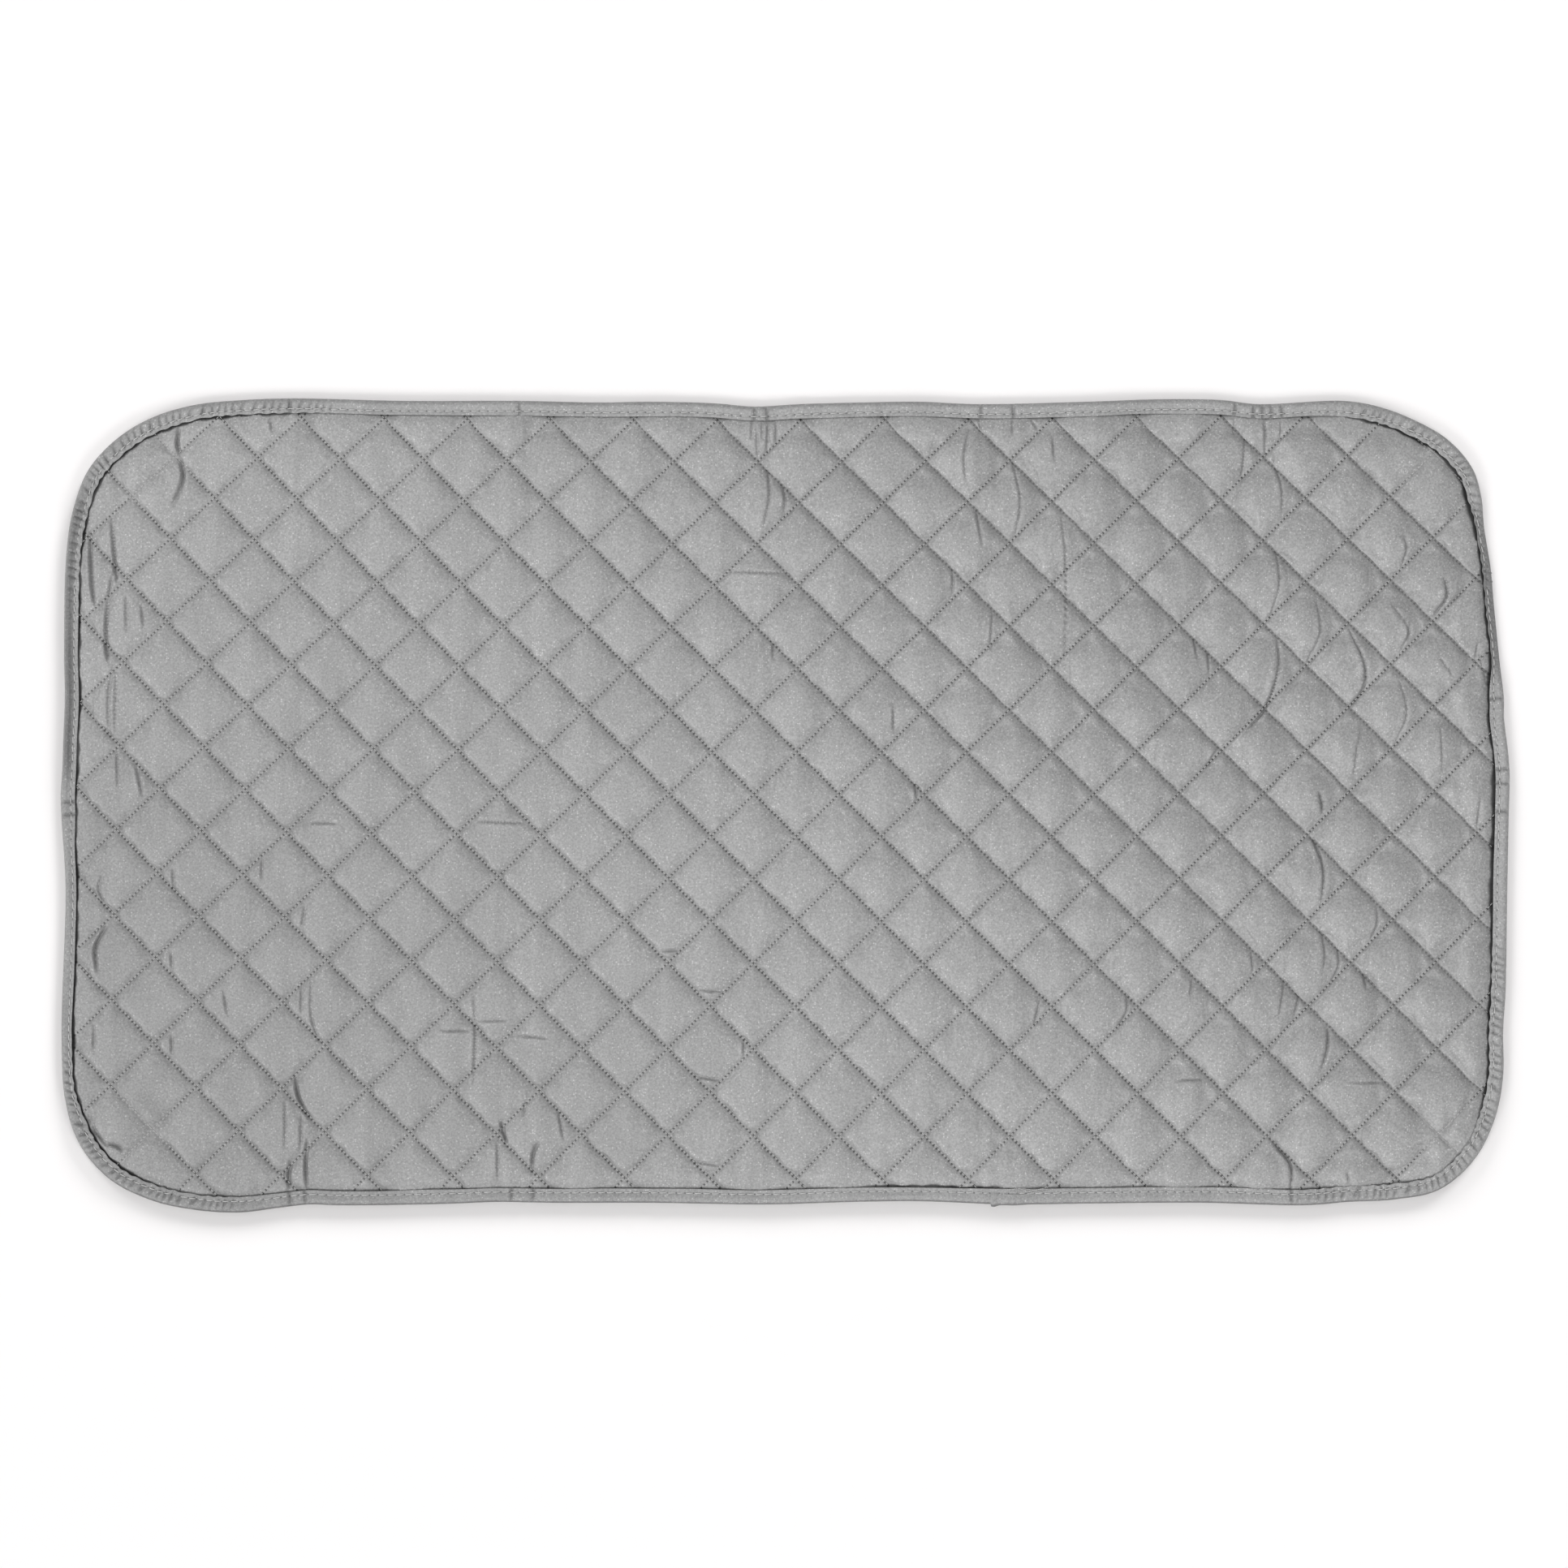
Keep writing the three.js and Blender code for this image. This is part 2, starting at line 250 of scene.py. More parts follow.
def seam_gap(value):
    """How far a lattice number is from the nearest stitched line."""
    return np.abs(value - np.round(value))


# Heights from the frame, and the magnets
cover_low, cover_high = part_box("top_cover")
felt_low, felt_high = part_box("heat_felt")
wadding_low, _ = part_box("wadding")
SEAM_LEVEL = cover_low.z + 0.5 * MM
LOFT = cover_high.z - SEAM_LEVEL
MAGNET_NODES = ("magnet_front_left", "magnet_front_right", "magnet_back_left", "magnet_back_right")
MAGNET_PIXELS = ((168, 1388), (1788, 1393), (190, 580), (1775, 590))

# Wrinkles in the cover, each a stroke through pixels of the photograph
DEEP_WRINKLES = (
    ((221, 524), (219, 545), (221, 558)), ((222, 562), (226, 589), (213, 623)),
    ((138, 638), (142, 692), (144, 715)), ((111, 655), (112, 690), (114, 728), (117, 745)),
    ((133, 738), (131, 790), (133, 814)), ((131, 1141), (118, 1167), (120, 1199)),
    ((107, 1372), (116, 1392), (130, 1410)), ((131, 1409), (142, 1411), (152, 1418)),
    ((364, 1324), (368, 1350), (381, 1377)), ((359, 1431), (356, 1450), (357, 1467)),
    ((379, 1404), (377, 1435), (379, 1467)), ((618, 1382), (621, 1396), (625, 1409)),
    ((664, 1407), (658, 1421), (656, 1441)), ((1664, 775), (1682, 819), (1682, 846), (1664, 871)),
    ((1780, 712), (1783, 734), (1769, 757)), ((1626, 975), (1631, 1002)),
    ((1618, 1030), (1631, 1069), (1629, 1114)), ((1638, 1266), (1636, 1290), (1629, 1318)),
    ((1571, 1409), (1591, 1435), (1592, 1467)), ((1575, 784), (1576, 820), (1560, 873), (1536, 900)),
)
SHALLOW_WRINKLES = (
    ((143, 828), (142, 900)), ((140, 703), (133, 738)), ((139, 822), (134, 855), (135, 905)),
    ((156, 734), (156, 776)), ((168, 943), (172, 962), (176, 981)), ((144, 922), (146, 968)),
    ((127, 1078), (122, 1096), (131, 1114)), ((116, 1262), (116, 1297)), ((214, 1069), (214, 1096)),
    ((212, 1172), (212, 1194)), ((212, 1275), (212, 1300)), ((175, 746), (177, 772)),
    ((323, 1054), (323, 1084)), ((377, 1114), (372, 1145)), ((384, 1203), (385, 1257), (394, 1282)),
    ((372, 1210), (372, 1250)), ((372, 1376), (371, 1417)), ((352, 1359), (352, 1413)),
    ((276, 1220), (281, 1250)), ((585, 1224), (586, 1280), (584, 1337)), ((591, 1257), (624, 1256)),
    ((640, 1275), (674, 1278)), ((544, 1269), (576, 1269)), ((614, 1412), (614, 1453)),
    ((648, 1358), (645, 1375)), ((689, 1371), (695, 1403)), ((815, 1171), (838, 1170)),
    ((861, 1218), (874, 1220), (893, 1220)), ((857, 1325), (871, 1328), (890, 1331)),
    ((856, 1431), (869, 1433), (889, 1436)), ((918, 1283), (917, 1299)), ((384, 1013), (413, 1013)),
    ((591, 1011), (645, 1013)), ((933, 517), (934, 562)), ((947, 517), (946, 553)),
    ((957, 519), (957, 543)), ((947, 578), (949, 610), (942, 648)),
    ((965, 598), (968, 612), (967, 630)), ((902, 703), (963, 705)), ((954, 788), (953, 810)),
    ((1196, 527), (1189, 560), (1191, 592)), ((1204, 629), (1211, 672)), ((1175, 700), (1175, 729)),
    ((1224, 757), (1221, 798)), ((1129, 968), (1131, 987)), ((1102, 868), (1102, 900)),
    ((1249, 567), (1258, 620), (1252, 659)), ((1298, 538), (1300, 569)),
    ((1309, 632), (1314, 700), (1313, 819)), ((1535, 540), (1531, 592)), ((1559, 518), (1560, 562)),
    ((1570, 565), (1580, 600), (1580, 636)), ((1573, 672), (1577, 720), (1565, 764)),
    ((1624, 741), (1627, 780), (1612, 815)), ((1729, 656), (1734, 676), (1728, 697)),
    ((1738, 766), (1736, 790)), ((1727, 840), (1734, 880), (1722, 914)),
    ((1680, 893), (1672, 925), (1669, 955)), ((1503, 920), (1488, 944)), ((1472, 784), (1476, 810)),
    ((1489, 799), (1491, 830)), ((1776, 895), (1778, 950)), ((1629, 1143), (1633, 1174), (1631, 1197)),
    ((1698, 1118), (1698, 1138), (1690, 1158)), ((1650, 1169), (1650, 1192), (1640, 1212)),
    ((1543, 1174), (1545, 1197)), ((1584, 1206), (1580, 1232), (1576, 1255)),
    ((1602, 1226), (1596, 1250)), ((1681, 1194), (1684, 1219)),
    ((1390, 1224), (1389, 1246), (1376, 1270)), ((1282, 1234), (1276, 1262)),
    ((1470, 1208), (1467, 1228)), ((1450, 1330), (1482, 1329)), ((1662, 1333), (1705, 1333)),
    ((1661, 1444), (1663, 1460)), ((1713, 740), (1736, 777), (1728, 800)), ((1773, 808), (1792, 834)),
    ((1823, 789), (1819, 815)), ((1826, 977), (1821, 1019)), ((1823, 800), (1834, 845), (1837, 883)),
    ((1523, 515), (1521, 536)), ((1559, 517), (1561, 540)), ((1580, 518), (1579, 540)),
    ((928, 517), (927, 540)), ((940, 518), (940, 540)), ((1208, 515), (1209, 530)),
    ((1249, 516), (1248, 535)), ((1272, 517), (1279, 527)), ((333, 516), (336, 530)),
)
DEEP_WRINKLE = 3.2 * MM
SHALLOW_WRINKLE = 1.6 * MM
WRINKLE_FLOOR = 0.95 * MM
# The sides of a wrinkle that runs to the front, and the lip on its left, in widths
LEFT_SIDE = 1.4
RIGHT_SIDE = 0.8
LIP_AWAY = 2.4
LIP_WIDTH = 1.6
RIGHT_THINNING = 0.3

# Where the pad had been folded, and how it lies
FOLD_COLUMNS = (357, 640, 935, 1215, 1540)
FOLD_ROW = 985
COLUMN_RIDGE = 0.55 * MM
ROW_RIDGE = 0.3 * MM
RIPPLE = 0.25 * MM
LEAST_RIDGE = 0.25
TAPE_SINK = 1.2 * MM
MAGNET_LIFT = 1.3 * MM
UNEVEN = 0.25 * MM


def add_wrinkles(height, x, y, strokes, depth, width, lip):
    """Presses each stroke into the heights as a valley with a lip on one side, fading at its ends."""
    for stroke in strokes:
        line = spline(on_pad(stroke), steps=14, closed=False)
        low, high = line.min(axis=0) - 5 * width, line.max(axis=0) + 5 * width
        near = np.nonzero((x > low[0]) & (x < high[0]) & (y > low[1]) & (y < high[1]))[0]
        gap = np.hypot(x[near, None] - line[None, :, 0], y[near, None] - line[None, :, 1])
        closest = gap.argmin(axis=1)
        along = np.gradient(line, axis=0)[closest]
        off = np.stack([x[near], y[near]], axis=1) - line[closest]
        gap = np.hypot(*off.T)
        side = np.sign(along[:, 0] * off[:, 1] - along[:, 1] * off[:, 0])
        fade = np.sqrt(np.sin(np.pi * (closest + 0.5) / len(line)))
        thin = 1 - RIGHT_THINNING * ease(0, 300 * MM, line[0, 0])
        valley = bell(gap, 0, thin * width * np.where(side < 0, LEFT_SIDE, RIGHT_SIDE))
        bulge = bell(gap, -LIP_AWAY * width * side, LIP_WIDTH * width)
        height[near] += depth * fade * (lip * bulge - valley)


def magnet_distance(x, y):
    """How far each place is from the nearest magnet."""
    return np.min([np.hypot(x - place[0], y - place[1]) for place in on_pad(MAGNET_PIXELS)], axis=0)


def lie(x, y):
    """How the pad lies without its diamonds: sunk at the tape, lifted by folds and magnets."""
    near, inset = nearest_rim(x, y)
    height = -TAPE_SINK * (1 - ease(0, 2.2 * MM, inset - tape_width[near]))
    edge = LEAST_RIDGE + (1 - LEAST_RIDGE) * np.exp(-inset / (45 * MM))
    for column in FOLD_COLUMNS:
        off = x - (column - PAD_CENTRE[0]) * PIXEL
        height += COLUMN_RIDGE * edge * bell(off, 0, 6 * MM)
        height += RIPPLE * edge * bell(off, 0, 16 * MM) * np.sin(off / (1.4 * MM))
    off = y - (PAD_CENTRE[1] - FOLD_ROW) * PIXEL
    height += ROW_RIDGE * edge * bell(off, 0, 7 * MM)
    height += MAGNET_LIFT * (1 - ease(9 * MM, 21 * MM, magnet_distance(x, y)))
    height += UNEVEN * np.sin(31 * x + 9 * y + 1) * np.sin(23 * y - 7 * x)
    return height


def wrinkles(x, y, crown):
    """How far the wrinkles press the cover down: less on the stitched lines than between them."""
    pressed = np.zeros_like(x)
    add_wrinkles(pressed, x, y, DEEP_WRINKLES, DEEP_WRINKLE, width=0.9 * MM, lip=0.35)
    add_wrinkles(pressed, x, y, SHALLOW_WRINKLES, SHALLOW_WRINKLE, width=0.8 * MM, lip=0.4)
    pressed *= np.clip(0.5 + crown / (2 * MM), 0.5, 1)
    return np.maximum(pressed, -crown - WRINKLE_FLOOR)


# Making meshes
def new_object(name, data):
    """A new object in the scene."""
    made = bpy.data.objects.new(name, data)
    bpy.context.scene.collection.objects.link(made)
    return made


def shade_smooth(made):
    """Shades every face of a mesh object smoothly."""
    made.data.polygons.foreach_set("use_smooth", [True] * len(made.data.polygons))


def mesh_object(name, verts, faces):
    """A smooth-shaded mesh object at the origin."""
    mesh = bpy.data.meshes.new(name)
    mesh.from_pydata(np.asarray(verts).tolist(), [], [tuple(map(int, face)) for face in faces])
    made = new_object(name, mesh)
    shade_smooth(made)
    mesh.update()
    return made


def vertices_of(made):
    """A mesh object's vertices as an array."""
    flat = np.empty(len(made.data.vertices) * 3)
    made.data.vertices.foreach_get("co", flat)
    return flat.reshape(-1, 3)


def set_vertices(made, verts):
    """Moves a mesh object's vertices."""
    made.data.vertices.foreach_set("co", np.asarray(verts, dtype=float).ravel())
    made.data.update()


def bake(made):
    """Applies everything that changes a mesh object's shape."""
    evaluated = made.evaluated_get(bpy.context.evaluated_depsgraph_get())
    shape = bpy.data.meshes.new_from_object(evaluated)
    made.modifiers.clear()
    old = made.data
    made.data = shape
    bpy.data.meshes.remove(old)


def keep(made, **values):
    """Stores a number at each vertex under each name, which the piece's material reads."""
    for name, numbers in values.items():
        made.data.attributes.new(name, "FLOAT", "POINT").data.foreach_set("value", numbers)


def thicken(made, thickness):
    """Gives a sheet its thickness."""
    body = made.modifiers.new("thickness", "SOLIDIFY")
    body.thickness = thickness
    body.offset = -1
    bake(made)


def grid_faces(rows, columns):
    """The faces of a grid of points that are numbered row by row."""
    corner = np.arange(rows * columns).reshape(rows, columns)
    quads = [corner[:-1, :-1], corner[1:, :-1], corner[1:, 1:], corner[:-1, 1:]]
    return np.stack(quads, axis=-1).reshape(-1, 4)


def quilted_grid(divisions, least_inset):
    """A grid along the stitched lines, cut to the rim: places, lattice numbers, insets and faces."""
    even = np.linspace(0, 1, divisions, endpoint=False)
    steps = even - SEAM_CROWDING * np.sin(2 * np.pi * even) / (2 * np.pi)
    line = np.concatenate([k + steps for k in range(-LATTICE_REACH, LATTICE_REACH)])
    fall, rise = (a.ravel() for a in np.meshgrid(line, line, indexing="ij"))
    x, y = place_of(fall, rise)
    inside = (np.abs(x) < cad_box[1].x + GRID_MARGIN) & (np.abs(y) < cad_box[1].y + GRID_MARGIN)
    inset = np.full(len(x), -1.0)
    near = np.zeros(len(x), dtype=int)
    near[inside], inset[inside] = nearest_rim(x[inside], y[inside])
    faces = grid_faces(len(line), len(line))[:, ::-1]
    faces = faces[(inset[faces] > least_inset).all(axis=1)]
    uses = np.bincount(faces.ravel(), minlength=len(x))
    edge = (uses > 0) & (uses < 4)
    x[edge] += inward[near[edge], 0] * (least_inset - inset[edge])
    y[edge] += inward[near[edge], 1] * (least_inset - inset[edge])
    inset[edge] = least_inset
    kept = np.nonzero(uses)[0]
    number = np.full(len(x), -1)
    number[kept] = np.arange(len(kept))
    return x[kept], y[kept], fall[kept], rise[kept], inset[kept], number[faces]


# The cover: cloth held on the stitched lines, blown up by the wadding
COVER_INSET = 4 * MM
COVER_DIVISIONS = 12
BORDER_SLOPE = 14 * MM
PILLOW_POWER = 2.6
CROWN_LIMIT = 2.8 * MM
LEAN = 1.4
TUCK_DEPTH = 0.6 * MM
TUCK_WIDTH = 1.2 * MM
CLOTH_FRAMES = 14
CLOTH_SETTINGS = dict(
    vertex_group_mass="held", vertex_group_shrink="tight", shrink_min=-0.08, shrink_max=0.0,
    use_pressure=True, uniform_pressure_force=300, mass=0.2, quality=6, air_damping=3,
    tension_stiffness=25, compression_stiffness=25, shear_stiffness=8, bending_stiffness=0.05,
)
# Where painted shade darkens the cover beside the tape on the right
PAINTED_SHADE_SPAN = ((1805, 565), (1850, 1340))


def pillow(fall, rise):
    """The plain shape of the diamonds, from 0 on the stitched lines to 1 in the middle."""
    across, along = (1 - (1 - 2 * seam_gap(value)) ** PILLOW_POWER for value in (fall, rise))
    return across * along


def full_share(x, y):
    """Where the quilting looks full: 0 at the front left and 1 at the back right."""
    return ease(-250 * MM, 350 * MM, x + y)


def fullness(x, y):
    """How full the quilting is: least on the left, and most at the back right."""
    return (1 + 0.3 * np.clip((x + 0.4 * y) / (320 * MM), -0.3, 1)) ** 3


def tuck(fall, rise):
    """How the thread pulls the cloth down beside each stitched line."""
    near_fall, near_rise = (bell(seam_gap(value) * SIDE, 0, TUCK_WIDTH) for value in (fall, rise))
    return TUCK_DEPTH * (1 - near_fall) * (1 - near_rise)


def blow_up(made, held, slack):
    """Runs the cloth with its seams held and air under it, and keeps the shape it reaches."""
    pins = made.vertex_groups.new(name="held")
    pins.add(np.nonzero(held)[0].tolist(), 1.0, "REPLACE")
    tight = made.vertex_groups.new(name="tight")
    for vertex, share in enumerate(slack):
        tight.add([vertex], float(1 - share), "REPLACE")
    cloth = made.modifiers.new("cloth", "CLOTH")
    cloth.point_cache.frame_end = CLOTH_FRAMES
    for key, value in CLOTH_SETTINGS.items():
        setattr(cloth.settings, key, value)
    cloth.settings.effector_weights.gravity = 0
    cloth.collision_settings.use_collision = False
    for step in range(1, CLOTH_FRAMES + 1):
        bpy.context.scene.frame_set(step)
    bake(made)
    bpy.context.scene.frame_set(1)


def diamond_shapes():
    """The cover's diamonds, simulated on a coarse grid, and which of its points are sewn."""
    x, y, fall, rise, inset, faces = quilted_grid(COVER_DIVISIONS, COVER_INSET)
    rim_held = inset < TAPE_REACH + 0.5 * MM
    on_seam = (seam_gap(fall) < 1e-6) | (seam_gap(rise) < 1e-6)
    border = ease(TAPE_REACH, TAPE_REACH + BORDER_SLOPE, inset)
    full = fullness(x, y)
    dome = LOFT * pillow(fall, rise) * full * border
    start = 0.3 * dome
    made = mesh_object("top_cover_cloth", np.stack([x, y, SEAM_LEVEL + start], axis=1), faces)
    keep(made, fall=fall, rise=rise)
    diamond = np.floor(fall).astype(int) * 100 + np.floor(rise).astype(int)
    own = dict(zip(np.unique(diamond), rng.uniform(0.8, 1.0, len(np.unique(diamond)))))
    fed = 0.7 - 0.4 * (fall - np.floor(fall))
    slack = np.array([own[d] for d in diamond]) * full * fed
    blow_up(made, on_seam | rim_held, slack)
    verts = vertices_of(made)
    height = np.maximum(verts[:, 2] - SEAM_LEVEL, 0)
    # Low heights stay as they are, and high ones level off below the crown's limit
    height /= (1 + (height / (CROWN_LIMIT * full)) ** 4) ** 0.25
    verts[:, :2] -= (LEAN * height / math.sqrt(2) / np.sqrt(full))[:, None]
    verts[:, 2] = SEAM_LEVEL + height + tuck(fall, rise) * border
    set_vertices(made, verts)
    return made, on_seam


def refine_wrinkles(made):
    """Splits the cover's faces along its wrinkles, so that they can bend."""
    x, y = vertices_of(made)[:, :2].T
    near = np.zeros(len(x))
    add_wrinkles(near, x, y, DEEP_WRINKLES + SHALLOW_WRINKLES, depth=-1, width=2 * MM, lip=0)
    build = bmesh.new()
    build.from_mesh(made.data)
    split = [e for e in build.edges if min(near[v.index] for v in e.verts) > 0.1]
    bmesh.ops.subdivide_edges(build, edges=split, cuts=2, use_grid_fill=True)
    build.to_mesh(made.data)
    build.free()


def make_cover():
    """The quilted cover, its folds and wrinkles pressed into its diamonds."""
    made, on_seam = diamond_shapes()
    coarse = vertices_of(made)
    sharp = [float(on_seam[list(edge.vertices)].all()) for edge in made.data.edges]
    made.data.attributes.new("crease_edge", "FLOAT", "EDGE").data.foreach_set("value", sharp)
    smooth = made.modifiers.new("smooth", "SUBSURF")
    smooth.levels = smooth.render_levels = 1
    smooth.boundary_smooth = "PRESERVE_CORNERS"
    bake(made)
    refine_wrinkles(made)
    verts = vertices_of(made)
    x, y = verts[:, 0], verts[:, 1]
    near, inset = nearest_rim(x, y)
    beyond = inset - tape_width[near]
    taut = 1 - ease(14 * MM, 26 * MM, magnet_distance(x, y))
    # Painted shade on the cover beside the tape on the right
    sunk = rim_span(*PAINTED_SHADE_SPAN)[near] * (1 - ease(0, 9 * MM, beyond))
    pressed = wrinkles(x, y, verts[:, 2] - SEAM_LEVEL)
    # Values for the painted shadow in the gap at the tape
    keep(made, beyond_tape=beyond / gap_shadow_width[near], gaping=gaping[near], taut=taut)
    # Values for painted shade: the lines' shade by fullness, beside the tape on the right, and in the
    # wrinkles
    keep(made, full=full_share(x, y), sunk=sunk, pressed=np.clip(-pressed / DEEP_WRINKLE, 0, 1))
    verts[:, 2] += lie(x, y) + pressed
    set_vertices(made, verts)
    shade_smooth(made)
    return made, coarse


# The stitches
STITCH_SINK = 0.25 * MM


def thread_stitches(name, starts, ends, radius, bow, sink):
    """A short thread from each start to each end, bowed in the middle and sunk at both holes."""
    ahead = ends - starts
    length = np.linalg.norm(ahead, axis=1, keepdims=True)
    ahead = ahead / length
    side = np.cross(ahead, [0, 0, 1])
    up = np.cross(side, ahead)
    rings = ((0.07, -sink, 0.6), (0.3, bow, 1.0), (0.7, bow, 1.0), (0.93, -sink, 0.6))
    verts = []
    for at, lift, thick in rings:
        middle = starts + ahead * length * at + up * lift
        for turn in range(4):
            angle = math.pi * (turn / 2 + 0.25)
            verts.append(middle + radius * thick * (math.cos(angle) * side + math.sin(angle) * up))
    stacked = np.stack(verts, axis=1).reshape(-1, 3)
    quads = [
        (ring + turn, ring + (turn + 1) % 4, ring + 4 + (turn + 1) % 4, ring + 4 + turn)
        for ring in (0, 4, 8)
        for turn in range(4)
    ]
    quads += [(3, 2, 1, 0), (12, 13, 14, 15)]
    faces = np.array(quads)[None] + 16 * np.arange(len(starts))[:, None, None]
    return mesh_object(name, stacked, faces.reshape(-1, 4))


def quilting_stitches(name, falling):
    """All the stitches of one set of lines, lying in the cover's valleys."""
    last_hole = LATTICE_REACH * STITCHES_A_SIDE
    hole = np.arange(-last_hole, last_hole + 1) / STITCHES_A_SIDE
    starts, ends = [], []
    for line in range(-LATTICE_REACH, LATTICE_REACH + 1):
        x, y = place_of(line, hole) if falling else place_of(hole, line)
        near = (np.abs(x) < cad_box[1].x) & (np.abs(y) < cad_box[1].y)
        x, y = x[near], y[near]
        _, inset = nearest_rim(x, y)
        points = np.stack([x, y, SEAM_LEVEL + lie(x, y) + wrinkles(x, y, np.zeros_like(x))], axis=1)
        sewn = inset > TAPE_REACH - 1 * MM
        whole = sewn[:-1] & sewn[1:]
        starts.append(points[:-1][whole])
        ends.append(points[1:][whole])
    starts, ends = np.vstack(starts), np.vstack(ends)
    made = thread_stitches(name, starts, ends, radius=0.3 * MM, bow=0.15 * MM, sink=STITCH_SINK)
    x, y = vertices_of(made)[:, :2].T
    keep(made, full=full_share(x, y))
    return made


# The binding: one tape folded over the rim and lapped where its ends meet
TAPE_LEVEL = 6.0 * MM
SHOULDER = 2.8 * MM
UPPER_HEIGHTS = (2.5 * MM, 4.8 * MM)
# Insets and heights on the folded underside, in mm
TAPE_UNDERSIDE = ((0.15, 1.9), (0.6, 0.8), (1.4, 0.15), (3.0, 0.05), (9.0, 0.05))
SEAM_INSET = 6.5 * MM
SEAM_STITCH = 5 * MM
SEAM_COUNT = round(rim_length / SEAM_STITCH)
SEAM_PITCH = rim_length / SEAM_COUNT
SEAM_SLANT = 0.2 * MM
SEAM_THREAD = 0.34 * MM
LOOSE_THREAD = 0.2 * MM
# Gathers at the corners, spans that roll up or tilt, and creases at the folds
GATHER_PITCH = 5.2 * MM
GATHERED_SPANS = (
    ((84, 700), (365, 490)), ((1705, 500), (1842, 760)), ((1856, 1210), (1650, 1482)),
    ((250, 1490), (80, 1340)),
)
PLEAT_DEPTH = 1.5 * MM
PLEAT_LEAN = 0.35 / MM
PLEAT_SHARPNESS = 2.2
ROLLED_SPAN = ((78, 930), (86, 640))
ROLL_HEIGHT = 1.5 * MM
ROLL_DIP = 0.5 * MM
TILT_LEVEL = 2.0 * MM
TILT_SLOPE = 0.47
CREASE_PIXELS = (
    (357, 490), (640, 494), (930, 500), (945, 500), (1210, 498), (1249, 497), (1523, 497), (1546, 498),
    (1556, 498), (1567, 498), (1580, 498), (358, 1484), (376, 1483), (630, 1480), (657, 1480),
    (1592, 1484), (1676, 1481), (76, 988), (77, 1004), (1852, 860), (1860, 947), (1860, 965),
    (1859, 1000),
)
CREASE_DEPTH = 0.9 * MM
WAVER_COUNTS = (9, 14, 23, 31, 47)
# The join of the tape's ends, with loose ends of the seam's thread
JOIN_PIXEL = (1232, 1482)
LAP = 7 * MM
LAP_RISE = 0.55 * MM
LAP_SLOPE = 12 * MM
LOOSE_ENDS = (
    ((1238, 1466), (1262, 1465), (1284, 1469)), ((1243, 1469), (1268, 1468), (1292, 1463)),
    ((1252, 1463), (1275, 1470), (1296, 1467)), ((1236, 1472), (1258, 1473), (1275, 1470)),
)

gathered = rim_spans(GATHERED_SPANS, fade=40 * MM)
rolled = rim_span(*ROLLED_SPAN, fade=25 * MM)
creased = rim_spans([(pixel, pixel) for pixel in CREASE_PIXELS], fade=1.6 * MM)
pleats = 2 * np.pi * rim_run / GATHER_PITCH
pleats += 1.7 * np.sin(2 * np.pi * rim_run / (29 * MM)) + 1.1 * np.sin(rim_run / (7 * MM))
pleat_size = 0.7 + 0.4 * np.sin(rim_run / (3.7 * MM)) * np.sin(rim_run / (11 * MM) + 1)
waver = sum(np.sin(k * 2 * np.pi * rim_run / rim_length + rng.uniform(0, 6.3)) for k in WAVER_COUNTS)


def upper_side(height):
    """0 on the tape's underside and 1 on its upper side."""
    return ease(*UPPER_HEIGHTS, height)


def pleat_fold(lean):
    """1 in the fold of each pleat, falling off on both sides."""
    return np.exp(PLEAT_SHARPNESS * (np.cos(lean) - 1))


def tape_line(inset, height):
    """A line of the tape all along the rim, from its inset and height in the plain section."""
    upper = upper_side(height)
    lean = pleats + PLEAT_LEAN * inset
    pleat = gathered * pleat_size * (0.4 - pleat_fold(lean)) * bell(inset, 5 * MM, 3 * MM)
    bulge = 0.25 * MM + ROLL_HEIGHT * rolled + 0.06 * MM * np.roll(waver, 180)
    dip = (0.2 * MM + ROLL_DIP * rolled) * ease(3.4 * MM, SEAM_INSET - SEAM_SLANT, inset)
    lift = PLEAT_DEPTH * pleat + 0.05 * MM * waver + bulge * bell(inset, 3.0 * MM, 1.8 * MM)
    lift = upper * (lift - dip - CREASE_DEPTH * creased)
    if height >= RIM_LEVEL:
        lift += tilted * (TILT_LEVEL + TILT_SLOPE * inset - height)
    swing = 0.075 * MM * np.roll(waver, 80) + 0.3 * MM * gathered * np.sin(0.6 * lean)
    reach = inset * tape_width / TAPE_REACH + swing * ease(5 * MM, TAPE_REACH, inset) * upper
    return np.column_stack([rim + inward * reach[:, None], height + lift])


def tape_top(inset):
    """The plain section's upper height: round at the rim, with a dent under the seam."""
    shoulder = min(inset / SHOULDER, 1)
    height = RIM_LEVEL + (TAPE_LEVEL - RIM_LEVEL) * math.sqrt(1 - (1 - shoulder) ** 2)
    return height - 0.3 * MM * bell(inset, SEAM_INSET, 0.5 * MM)


def tape_section():
    """The folded tape's plain section, from its upper edge to its lower edge."""
    insets = np.concatenate([np.linspace(9, 0.9, 19), [0.5, 0.2, 0.05, 0]]) * MM
    section = [(TAPE_REACH + 0.05 * MM, TAPE_LEVEL - 0.5 * MM)]
    section += [(inset, tape_top(inset)) for inset in insets]
    section += [(inset * MM, height * MM) for inset, height in TAPE_UNDERSIDE]
    return section


def tape_hidden(around, inset):
    """How much painted shade darkens the tape where it turns to the front, rolls up, tilts or lies in a
    fold.
    """
    turned = 0.5 * ease(0.4, 0.95, inward[around, 1]) * (1 - ease(0.7 * MM, 1.5 * MM, inset))
    roll = 0.45 * rolled[around] * bell(inset, 2.6 * MM, 2.0 * MM)
    tilt = 0.3 * tilted[around]
    fold = pleat_fold(pleats[around] + PLEAT_LEAN * inset) * bell(inset, 4.5 * MM, 3 * MM)
    pleat = 0.35 * gathered[around] * fold
    crease = 0.4 * np.minimum(creased[around], 1) * ease(1 * MM, 3 * MM, inset)
    return np.max(np.broadcast_arrays(turned, roll, tilt, pleat, crease), axis=0)


